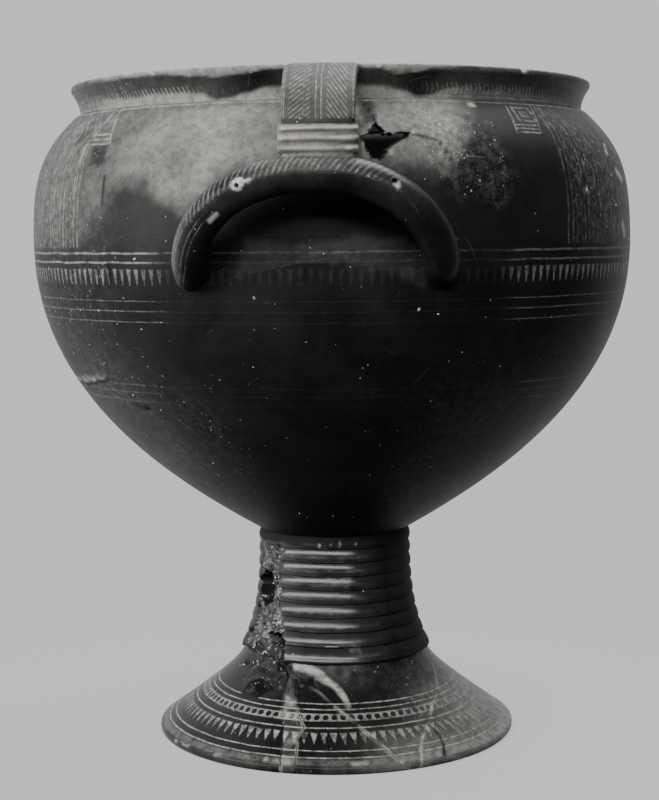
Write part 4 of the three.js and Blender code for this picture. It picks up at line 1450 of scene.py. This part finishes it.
def worn_breaks(points):
    outside = radii_of(points) > flare_outer_radius(points[:, 2]) - 2 * MM
    near = 1 - smooth_step(break_distance(points), 0, 1.6 * MM)
    return radial(points, -near * (0.6 + 0.6 * lumps(points, 0.006, 11)) * 0.8 * MM * outside)


SMEAR_LINE = [
    (-22, 65.5), (-17, 64.6), (-11, 62.2), (-6, 59.2), (-1.8, 55.8), (2.4, 52), (5.4, 48), (7, 44), (8, 41),
]
PLASTER_LINE = [
    (-29.2, 56.8), (-26.5, 51.2), (-17.8, 41.7), (-21.2, 35.3), (-10.7, 27.1), (-14.6, 16.1), (-12.9, 10.9),
]
BREAK_CHALK = [(22.5, 6.5), (20.5, 10.9), (17.5, 18.4), (9, 32), (2.2, 39.5)]
FOOT_PATCHES = [
    [(48.4, 22.2), (50.2, 16.6)], [(38.3, 23.6), (38.7, 22.6)], [(-60, 5), (-50, 6)], [(-38, 6), (-33, 7)],
    [(-20, 8.3), (-12, 8)], [(5, 7.5), (12, 8)],
    [(-15.2, 11.6), (-12.8, 10)],
]
FOOT_CRACKS = [
    [(-47.5, 41.5), (-47.8, 48.9), (-42.5, 52.2), (-36.8, 50.7), (-30.4, 47.3)],
    [(-47.5, 41.5), (-37.1, 41.5), (-32.7, 46.9)],
    [(40.3, 21.2), (40.7, 17), (40, 12.6), (37.5, 6.5)],
]
LOST_TRIANGLE = [(-45, 47.5), (-41.2, 51.8), (-32.7, 46.9), (-37.1, 41.5)]


def foot_smear(points):
    """Plaster along the breaks, and smeared above the long one."""
    lump = 0.5 + 0.5 * lumps(points, 0.012, 6)
    near = 1 - smooth_step(break_distance(points), 0.3 * MM, 1.5 * MM)
    thick = 3.4 * MM - 1.2 * MM * smooth_step(azimuths_of(points), -16, 6)
    smear = distance_to_path(points, SMEAR_LINE) + 1 * MM * lumps(points, 0.007, 16)
    broad = 1 - smooth_step(smear, 0.1 * thick, 1.5 * thick)
    line = near_path(points, PLASTER_LINE, 0.4 * MM, 4.4 * MM) * (0.16 + 0.66 * lumps(points, 0.006, 17))
    chalk = near_path(points, BREAK_CHALK, 0.3 * MM, 2 * MM) * (0.36 + 0.5 * lumps(points, 0.005, 59))
    feather = smooth_step(lumps(points * [1, 1, 3], 0.006, 49), -0.7, 0.1)
    broad = broad * (0.4 + 0.6 * feather) * 0.95
    patches = no_marks(points)
    for patch in FOOT_PATCHES:
        patches = np.maximum(patches, near_path(points, patch, 0.5 * MM, 1.9 * MM))
    patches = patches * smooth_step(lumps(points, 0.004, 55), -0.4, 0.5)
    kept = 1 - 0.85 * foot_crumble_share(points)
    high = smooth_step(points[:, 2], 33 * MM, 40 * MM)
    near = near * smooth_step(lump, 0.35, 0.75) * (0.75 - 0.55 * high)
    return np.clip(np.max([near, broad, line, chalk, patches * lump * 0.8], axis=0) * kept, 0, 1)


def foot_cracks(points):
    best = 0.6 - 0.6 * smooth_step(break_distance(points), 0.15 * MM, 0.5 * MM)
    best = best * smooth_step(lumps(points, 0.01, 43), -0.1, 0.4)
    pits = foot_crumble_share(points) * smooth_step(lumps(points, 0.008, 54), 0.1, 0.5)
    best = np.maximum(best, pits)
    for path in FOOT_CRACKS:
        best = np.maximum(best, near_path(points, path, 0.3 * MM, 1.4 * MM))
    return np.maximum(best, zone(points, LOST_TRIANGLE, 1.5 * MM))


def foot_film(points):
    """A thin haze, with painted sheen that grows to the right, and the rim's mottled grey band."""
    front = to_front(points)
    azimuth = azimuths_of(front)
    # Painted sheen towards the right, and low at the front right.
    right = smooth_step(azimuth, 26, 66) * (0.25 + 0.75 * smooth_step(front[:, 2], 52 * MM, 38 * MM))
    right = np.maximum(right, 0.75 * smooth_step(azimuth, 6, 26) * smooth_step(front[:, 2], 30 * MM, 14 * MM))
    rim = smooth_step(front[:, 2], 12 * MM, 8 * MM) * (0.35 + 0.65 * smooth_step(azimuth, -60, -10))
    haze = 0.005 + 0.5 * right + 0.2 * rim * (0.5 + 0.8 * lumps(points, 0.008, 18))
    neck = bell(azimuth, 6, 18) * smooth_step(front[:, 2], 46 * MM, 60 * MM)
    neck = neck * (0.5 + 0.8 * lumps(points, 0.006, 58))
    return np.clip(haze + 0.26 * neck + 0.02 * lumps(points, 0.03, 19), 0, 1)


def foot_hold(points):
    front = to_front(points)
    worn = 0.5 + 0.5 * lumps(points, 0.02, 20)
    return np.clip(1 - 0.55 * smooth_step(azimuths_of(front), 25, 75) - 0.3 * worn, 0, 1)


def foot_wear(points):
    front = to_front(points)
    right = smooth_step(azimuths_of(front), 5, 60)
    left_top = bell(azimuths_of(front), -42, 14) * smooth_step(front[:, 2], 40 * MM, 50 * MM)
    return np.clip(0.06 + 0.3 * right + 0.4 * left_top, 0, 1)


def fill_right_side(heights):
    low, high = jagged("fill_right", heights), jagged("long", heights)
    return np.where(heights < WEDGE_TOP, low, high) - BREAK_GAP


def main_far_side(heights):
    """The main piece's other end, once round from where it starts."""
    return break_side("fill_left", -1)(heights) + 360


def foot_pieces(gloss, plaster, crumbled):
    whole = STEM_BASE
    main = sherd("foot_main", break_side("right", 1), main_far_side, whole, 1.5)
    right = sherd("foot_right", break_side("long", 1), break_side("right", -1), whole, 1.5)
    centre = sherd("foot_centre", break_side("fill_right", 1), break_side("long", -1), WEDGE_TOP, 1.5)
    fill = sherd("foot_fill", break_side("fill_left", 1), fill_right_side, whole, 2.4)
    marks = {
        "film": foot_film, "wear": foot_wear, "smear": foot_smear, "crack": foot_cracks, "hold": foot_hold,
    }
    finish_piece(main, gloss, "foot_flare", "black_gloss", **marks)
    finish_piece(right, gloss, "foot_sherd_right", "black_gloss", **marks)
    finish_piece(centre, gloss, "foot_sherd_centre", "black_gloss", **marks)
    finish_piece(fill, plaster, "foot_plaster_fill", "plaster_fill", **marks)
    crumbs = crumbs_on("foot_crumbs", main, foot_crumble_share, crumbled)
    finish_piece(crumbs, crumbled, None, "plaster_fill")


# Handles

LOOP_FOOT = BELLY - HANDLE_FOOT_DROP
CROWN_HEIGHT = LOOP_FOOT + HANDLE_RISE
CROWN_RADIUS = float(wall_radius(CROWN_HEIGHT)) + HANDLE_STANDOFF
RIDGE_TOP = CROWN_HEIGHT + BAR_RADIUS + RIDGE_COUNT * RIDGE_PITCH
STRAP_OUTER = CROWN_RADIUS + STRAP_THICKNESS / 2


def loop_tree(wall, material):
    """A round bar swept over an arch that stands off the wall and sinks its roots into it."""
    sizes = {
        "Foot level": LOOP_FOOT, "Rise": HANDLE_RISE, "Half span": HANDLE_HALF_SPAN,
        "Squareness": HANDLE_SQUARENESS, "Standoff": HANDLE_STANDOFF, "Lean": HANDLE_LEAN,
        "Root depth": HANDLE_ROOT_DEPTH, "Root height": HANDLE_ROOT_HEIGHT, "Bar radius": BAR_RADIUS,
        "Root swell": BAR_ROOT_SWELL, "Stations": 280, "Sides": 48,
    }
    tree, _, size = new_tree("stirrup_loop", sizes)
    line = add(tree, "GeometryNodeCurvePrimitiveLine")
    fine = add(tree, "GeometryNodeResampleCurve", {"Curve": line.outputs[0], "Count": size["Stations"] * 4})
    turn = Field(tree, add(tree, "GeometryNodeSplineParameter").outputs["Factor"]) * math.pi
    power = (size["Squareness"] / 2) ** -1
    cosine = turn.math("COSINE")
    across = (cosine.abs() ** power) * cosine.math("SIGN") * -1
    rise = turn.math("SINE").most(0) ** power
    height = size["Foot level"] + size["Rise"] * rise
    sunk = (1 - size["Rise"] * rise / size["Root height"]).most(0) ** 2
    lean = 1 - ((1 - rise).most(0) ** size["Lean"])
    standoff = size["Standoff"] * lean - size["Root depth"] * sunk
    target = add(tree, "GeometryNodeObjectInfo", {"Object": wall}, transform_space="ORIGINAL")
    ray = add(tree, "GeometryNodeRaycast", {
        "Target Geometry": target.outputs["Geometry"], "Ray Direction": (0, 1, 0), "Ray Length": 1,
        "Source Position": joined_vector(tree, 0.0003, -0.4, height),
    })
    radius = part_of(tree, ray.outputs["Hit Position"])[1] * -1 + standoff
    x = size["Half span"] * across
    y = (radius * radius - x * x).math("SQRT") * -1
    bent = add(tree, "GeometryNodeSetPosition", {
        "Geometry": fine.outputs[0], "Position": joined_vector(tree, x, y, height),
    })
    even = add(tree, "GeometryNodeResampleCurve", {"Curve": bent.outputs[0], "Count": size["Stations"]})

    centre = add(tree, "GeometryNodeInputPosition").outputs[0]
    tangent = add(tree, "GeometryNodeInputTangent").outputs[0]
    length = Field(tree, add(tree, "GeometryNodeSplineParameter").outputs["Length"]) * 1000
    named = even.outputs[0]
    for name, kind, value in (
        ("centre", "FLOAT_VECTOR", centre), ("tangent", "FLOAT_VECTOR", tangent), ("along", "FLOAT", length),
    ):
        store = add(tree, "GeometryNodeStoreNamedAttribute", {
            "Geometry": named, "Name": name, "Value": value,
        }, data_type=kind)
        named = store.outputs[0]
    level = part_of(tree, centre)[2] - size["Foot level"]
    swell = 1 + size["Root swell"] * ((1 - level * 2.4 / size["Rise"]).most(0) ** 2)
    ring = add(tree, "GeometryNodeCurvePrimitiveCircle", {"Resolution": size["Sides"], "Radius": size["Bar radius"]})
    thick = add(tree, "GeometryNodeSetCurveRadius", {"Curve": named, "Radius": swell})
    bar = add(tree, "GeometryNodeCurveToMesh", {
        "Curve": thick.outputs[0], "Profile Curve": ring.outputs[0], "Fill Caps": True,
    })
    end_tree(tree, bar.outputs[0], material)
    return tree, sizes


def vectors_of(piece, name):
    values = np.zeros(len(piece.data.vertices) * 3)
    piece.data.attributes[name].data.foreach_get("vector", values)
    return values.reshape(-1, 3)


def turn_round_bar(piece):
    """Turn in degrees round the bar: 0 faces away from the wall, -90 is the top of the crown."""
    centre, along = vectors_of(piece, "centre"), vectors_of(piece, "tangent")
    outward = centre * [1, 1, 0]
    outward -= along * np.sum(outward * along, axis=1)[:, None]
    outward /= np.linalg.norm(outward, axis=1)[:, None]
    up = np.cross(along, outward)
    away = points_of(piece) - centre
    return np.degrees(np.arctan2(np.sum(away * up, axis=1), np.sum(away * outward, axis=1)))


def loop_piece(name, material, mended):
    wall = turned("wall_form", BODY_OUTLINE, 180, closed=False)
    tree, sizes = loop_tree(wall, material)
    piece = grown(name, tree, sizes)
    bpy.data.objects.remove(wall)
    turn = turn_round_bar(piece)
    paint(piece, "turn", lambda points: turn)
    closed_up(piece, 38)
    for spent in ("centre", "tangent"):
        piece.data.attributes.remove(piece.data.attributes[spent])
    if mended:
        for across, rise in MEND_HOLES:
            cut(piece, mend_cutter(across, rise))
    moved(piece, lambda p: 0.35 * MM * np.stack([lumps(p, 0.03, seed) for seed in (13, 14, 15)], axis=1))
    moved(piece, kept_in_wall)
    return piece


def kept_in_wall(points):
    """Stops what is sunk in the wall short of its inner face."""
    least = wall_radius(points[:, 2]) - 5 * MM
    return radial(points, np.maximum(least - radii_of(points), 0))


def bar_level(across):
    """Height of the bar's middle line at a distance from the handle's middle."""
    share = abs(across / HANDLE_HALF_SPAN) ** HANDLE_SQUARENESS
    return LOOP_FOOT + HANDLE_RISE * (1 - share) ** (1 / HANDLE_SQUARENESS)


def mend_cutter(across, rise):
    height = bar_level(across) + rise
    azimuth = math.degrees(math.asin(across / CROWN_RADIUS))
    corners = []
    for step in range(12):
        angle = 2 * math.pi * step / 12
        corners.append((
            azimuth + math.degrees(MEND_HOLE_RADIUS / CROWN_RADIUS) * math.cos(angle),
            (height + MEND_HOLE_RADIUS * math.sin(angle)) / MM,
        ))
    return radial_cutter("mend", corners, CROWN_RADIUS - 30 * MM, CROWN_RADIUS + 30 * MM)


def mend_smear(points):
    """Pale clay chipped round the mend holes, with a tail at the left one, and a chip lower down."""
    best = no_marks(points)
    front = points[:, 1] < -CROWN_RADIUS * 0.93
    for across, rise in MEND_HOLES:
        x, z = points[:, 0] - across * 1.035, points[:, 2] - bar_level(across) - rise
        if across < 0:
            tail = np.clip(x, 0, 9 * MM)
            reach = 4 * MM - 2.8 * MM * smooth_step(x, 2 * MM, 5 * MM)
            away = np.hypot(x - tail, z - 0.45 * tail) - reach
        else:
            away = np.hypot(x - 2.4 * MM, z + 2.6 * MM) - 2.3 * MM
        away = away - 1 * MM * lumps(points, 0.004, 33)
        best = np.maximum(best, smooth_step(away, 0.6 * MM, -0.8 * MM) * front)
    x, z = points[:, 0] + 64.8 * MM, points[:, 2] - bar_level(MEND_HOLES[0][0]) + 18.8 * MM
    along = np.clip((x + z) / 2, -2.4 * MM, 2.4 * MM)
    chip = smooth_step(np.hypot(x - along, z - along), 1.9 * MM, 0.9 * MM)
    return np.maximum(best, 0.75 * chip * front)


def loop_film(points):
    """A thin even film, with painted highlight over the crown, fading to the right, and along the left leg's outer
    rim.
    """
    top = smooth_step(points[:, 2], CROWN_HEIGHT - 2 * MM, CROWN_HEIGHT + 9 * MM)
    outer = smooth_step(np.hypot(points[:, 0], points[:, 2] - LOOP_FOOT), 91 * MM, 98 * MM)
    left = smooth_step(points[:, 0], -30 * MM, -60 * MM)
    top = top * (1 - 0.7 * smooth_step(points[:, 0], 15 * MM, 55 * MM))
    return np.clip(0.02 + 0.24 * top + 0.4 * outer * left + 0.04 * lumps(points, 0.02, 34), 0, 1)


def strap_piece(name):
    reach, climb = STRAP_OUTER - LIP_RADIUS, LIP - RIDGE_TOP
    turn = np.linspace(math.pi / 2, 0, 60)
    arc = np.stack([
        LIP_RADIUS + (reach - STRAP_THICKNESS / 2) * np.cos(turn),
        RIDGE_TOP + (climb - STRAP_THICKNESS / 2) * np.sin(turn),
    ], axis=1)
    start = np.array([[LIP_RADIUS - STRAP_THICKNESS, LIP - STRAP_THICKNESS / 2]])
    end = np.array([[STRAP_OUTER - STRAP_THICKNESS / 2, CROWN_HEIGHT]])
    side = resampled(np.vstack([start, arc, end]), 190)
    along = np.gradient(side, axis=0)
    along /= np.linalg.norm(along, axis=1)[:, None]
    sides = 56
    angle = 2 * math.pi * np.arange(sides) / sides
    flat = np.sign(np.cos(angle)) * np.abs(np.cos(angle)) ** 0.25 / 2
    thick = np.sign(np.sin(angle)) * np.abs(np.sin(angle)) ** 0.45 * STRAP_THICKNESS / 2
    face = np.where(np.sin(angle) > 0, np.abs(np.sin(angle)) ** 0.3, 0)
    vertices = []
    for (radius, height), (run, rise) in zip(side, along):
        below = RIDGE_TOP - height
        if 0 < below < RIDGE_COUNT * RIDGE_PITCH:
            proud, width = RIDGE_PROUD * math.sin(math.pi * below / RIDGE_PITCH) ** 2, RIDGE_WIDTH
        else:
            up = min(max(-below / climb, 0), 1)
            proud, width = 0, STRAP_FOOT_WIDTH + (STRAP_TOP_WIDTH - STRAP_FOOT_WIDTH) * up
        out = thick + proud * face
        for x, lift in zip(width * flat, out):
            vertices.append((x + STRAP_OFFSET, rise * lift - radius, height + run * lift))
    faces = rings_joined(len(side), sides)
    faces += [tuple(range(sides)), tuple(range((len(side) - 1) * sides, len(side) * sides))]
    piece = new_piece(name, vertices, faces, 50)
    paint(piece, "across", lambda points: (points[:, 0] - STRAP_OFFSET) / MM)
    moved(piece, ridges_worn)
    return piece


def ridge_place(points):
    """Which ridge a point is on, in ridges down from the top, and 0 or the last past their ends."""
    return np.clip((RIDGE_TOP - points[:, 2]) / RIDGE_PITCH, 0, RIDGE_COUNT)


def ridges_worn(points):
    """The ridges waver and are worn unevenly."""
    rough = lumps(points, 0.011, 37) + 0.5 * lumps(points, 0.004, 38)
    inside = np.sin(math.pi * ridge_place(points) / RIDGE_COUNT)
    waver = 1.3 * MM * lumps(points * [1, 0, 0.6], 0.012, 40) * inside
    return radial(points, (rough - 0.5) * 0.8 * MM * (inside > 0)) + waver[:, None] * [0, 0, 1]


def strap_film(points):
    """Thin over the face, pale on the ridges partly as painted highlight, with painted shade in the grooves towards
    the right and in a band just above the ridges, and painted highlight along the lip.
    """
    height = points[:, 2]
    # Painted highlight along the lip.
    lip = smooth_step(height, LIP - 3 * MM, LIP - 1 * MM)
    crest = np.abs(np.sin(math.pi * ridge_place(points))) ** 1.5
    worn = 0.8 + 0.3 * lumps(points, 0.01, 35)
    # Painted shade in the grooves towards the right.
    groove_right = smooth_step(points[:, 0] - STRAP_OFFSET, -2 * MM, 8 * MM) * 0.75
    ridged = (height < RIDGE_TOP) * (0.95 + 0.4 * crest - 0.6 * groove_right * (1 - crest))
    # Painted shadow in a band just above the ridges.
    band = smooth_step(height, RIDGE_TOP + 5 * MM, RIDGE_TOP + 3 * MM) * (0.4 + 0.6 * groove_right)
    face = (height >= RIDGE_TOP) * 0.22 * (1 - band)
    return np.clip((ridged * worn + face + 0.3 * lip) * (radii_of(points) > LIP_RADIUS), 0, 1)


def strap_crest_wear_and_highlight(points):
    """The ridges' crests are palest, worn and also painted as highlight."""
    worn = smooth_step(lumps(points, 0.008, 36), -0.2, 0.5)
    return 0.75 * np.sin(math.pi * ridge_place(points)) ** 2 * (0.35 + 0.65 * worn)


def strap_cracks(points):
    """Dark blotches on the ridges, more of them near their ends and on the right."""
    across = points[:, 0] - STRAP_OFFSET
    often = 0.25 + 0.4 * smooth_step(np.abs(across), 6 * MM, 20 * MM) + 0.35 * smooth_step(across, 0, 10 * MM)
    blotch = smooth_step(lumps(points * [1, 1, 2], 0.009, 39), 0.05, 0.4)
    ridges = (ridge_place(points) > 0) * (ridge_place(points) < RIDGE_COUNT)
    return 0.5 * often * blotch * ridges


def half_turn(piece):
    """Turns a front piece to the back."""
    moved(piece, lambda points: points * [-2, -2, 0])


def handle(side, loop_gloss, strap_gloss):
    front = side == "front"
    loop, strap = loop_piece(f"loop_{side}", loop_gloss, front), strap_piece(f"strap_{side}")
    worn = {"hold": lambda points: no_marks(points) + 0.9, "wear": lambda points: no_marks(points) + 0.05}
    finish_piece(
        loop, loop_gloss, f"handle_loop_{side}", "black_gloss",
        film=loop_film, smear=mend_smear if front else no_marks, **worn,
    )
    finish_piece(
        strap, strap_gloss, f"handle_strap_{side}", "black_gloss",
        film=strap_film, smear=strap_crest_wear_and_highlight, crack=strap_cracks, **worn,
    )
    if not front:
        half_turn(loop)
        half_turn(strap)


# Studio

BACKDROP = (0.735, 0.735, 0.755)
FLOOR_NEAR, FLOOR_FAR = 0.12, 0.5
FLOOR_GLOW = 0.78
LIGHTS = {
    # name: (place in metres, width and height in metres, roll in degrees, power in watts)
    "skylight": ((0.5, 0.4, 2.15), (1.4, 1.4), 0, 42),
    "window": ((-0.8, -1.4, 1.15), (4.8, 0.4), 9, 62),
}


def studio_floor():
    """A pale floor that melts into the backdrop, so that no horizon shows from any side."""
    bpy.ops.mesh.primitive_circle_add(vertices=96, radius=9, fill_type="NGON", location=(0, 0, -0.0003))
    floor = bpy.context.object
    floor.name = "floor"
    material = bpy.data.materials.new("pale_paper")
    material.use_nodes = True
    tree = material.node_tree
    tree.nodes.clear()
    coordinates = add(tree, "ShaderNodeTexCoord")
    x, y, _ = part_of(tree, coordinates.outputs["Object"])
    away = (x * x + y * y).math("SQRT").fade(FLOOR_NEAR, FLOOR_FAR) * (1 - FLOOR_GLOW) + FLOOR_GLOW
    grain = add(tree, "ShaderNodeTexNoise", {"Vector": coordinates.outputs["Object"], "Scale": 3, "Detail": 3})
    tone = blend_colour(tree, Field(tree, grain.outputs[0]), (0.68, 0.68, 0.695), (0.74, 0.74, 0.755))
    lit = add(tree, "ShaderNodeBsdfDiffuse", {"Color": tone, "Roughness": 0.5})
    even = add(tree, "ShaderNodeEmission", {"Color": (*BACKDROP, 1)})
    mix = add(tree, "ShaderNodeMixShader", {0: away, 1: lit.outputs[0], 2: even.outputs[0]})
    add(tree, "ShaderNodeOutputMaterial", {0: mix.outputs[0]})
    floor.data.materials.append(material)
    floor.visible_glossy = False
    floor.visible_diffuse = False


def studio_world():
    """An even backdrop for the camera, and a room that is bright behind the pot and dark before it."""
    world = bpy.data.worlds.new("studio")
    bpy.context.scene.world = world
    world.use_nodes = True
    tree = world.node_tree
    tree.nodes.clear()
    x, y, z = part_of(tree, add(tree, "ShaderNodeTexCoord").outputs["Generated"])
    behind = (y - x * 0.6).fade(-0.2, 0.6)
    room = behind * 0.85 * z.fade(-0.97, -0.5) + 0.03
    room = room + z.fade(0.2, 0.9) * 0.1
    backdrop = add(tree, "ShaderNodeBackground", {"Color": (*BACKDROP, 1)})
    around = add(tree, "ShaderNodeBackground", {"Color": (1, 1, 1.02, 1), "Strength": room})
    seen = add(tree, "ShaderNodeLightPath").outputs["Is Camera Ray"]
    mix = add(tree, "ShaderNodeMixShader", {0: seen, 1: around.outputs[0], 2: backdrop.outputs[0]})
    add(tree, "ShaderNodeOutputWorld", {0: mix.outputs[0]})


def studio_lights():
    for name, (place, size, roll, power) in LIGHTS.items():
        light = bpy.data.lights.new(name, "AREA")
        light.shape = "RECTANGLE"
        light.size, light.size_y = size
        light.energy = power
        lamp = bpy.data.objects.new(name, light)
        lamp.location = place
        aim = Vector((0, 0, 0.35)) - Vector(place)
        tilt = Quaternion((0, 0, 1), math.radians(roll))
        lamp.rotation_euler = (aim.to_track_quat("-Z", "Y") @ tilt).to_euler()
        bpy.context.scene.collection.objects.link(lamp)


def photo_camera():
    data = bpy.data.cameras.new("photo")
    data.sensor_width = 36
    data.lens = PHOTO_FOCAL * data.sensor_width / PHOTO_HEIGHT
    data.clip_start = 0.05
    camera = bpy.data.objects.new("photo", data)
    camera.rotation_mode = "QUATERNION"
    turn, pitch = math.radians(CAMERA_TURN), math.radians(CAMERA_PITCH)
    look = Vector((-math.sin(turn) * math.cos(pitch), math.cos(turn) * math.cos(pitch), -math.sin(pitch)))
    roll = Quaternion((0, 0, 1), math.radians(CAMERA_ROLL))
    camera.rotation_quaternion = look.to_track_quat("-Z", "Y") @ roll
    camera.location = CAMERA_PLACE
    bpy.context.scene.collection.objects.link(camera)
    bpy.context.scene.camera = camera


def build_krater():
    body = {"film": body_film, "wear": body_wear, "hold": body_hold}
    bowl_gloss = gloss_material("gloss_bowl", bowl_ornament, rough=0.52)
    shoulder_gloss = gloss_material("gloss_shoulder", shoulder_ornament, rough=0.52)
    collar_gloss = gloss_material("gloss_collar", collar_ornament)
    stem_gloss = gloss_material("gloss_stem", plain_ornament, rough=0.2, shine=0.6, relief=0.35)
    crumbled = plaster_material("crumbled_plaster", PLASTER_PALE, (0.2, 0.194, 0.182), plain_ornament)
    finish_piece(bowl_piece(), bowl_gloss, "bowl_lower", "black_gloss", smear=bowl_smear, crack=bowl_cracks, **body)
    finish_piece(
        shoulder_piece(), shoulder_gloss, "bowl_shoulder", "black_gloss",
        smear=shoulder_smear, crack=shoulder_cracks, **body,
    )
    finish_piece(
        collar_piece(), collar_gloss, "rim_collar", "black_gloss",
        film=collar_film, smear=lambda points: 0.8 * lip_chip_share(points), wear=body_wear,
        hold=collar_hold, crack=inner_dark_and_shade,
    )
    stem = stem_piece(stem_gloss)
    finish_piece(
        stem, stem_gloss, "stem_ribbed", "black_gloss", film=stem_film, smear=stem_smear, crack=stem_cracks,
    )
    finish_piece(crumbs_on("stem_crumbs", stem, gouge_share, crumbled), crumbled, None, "plaster_fill")
    finish_piece(lime_grains(crumbled), crumbled, None, "plaster_fill")
    plaster = plaster_material("toned_plaster", (0.078, 0.0757, 0.071), (0.018, 0.0175, 0.0165), foot_ornament)
    foot_pieces(gloss_material("gloss_foot", foot_ornament, PAINT_FOOT, 0.34), plaster, crumbled)
    loop_gloss = gloss_material("gloss_loop", loop_ornament, rough=0.34)
    strap_gloss = gloss_material("gloss_strap", strap_ornament, PAINT_STRAP, 0.5)
    for side in ("front", "back"):
        handle(side, loop_gloss, strap_gloss)


photo_camera()
studio_floor()
studio_world()
studio_lights()
build_krater()
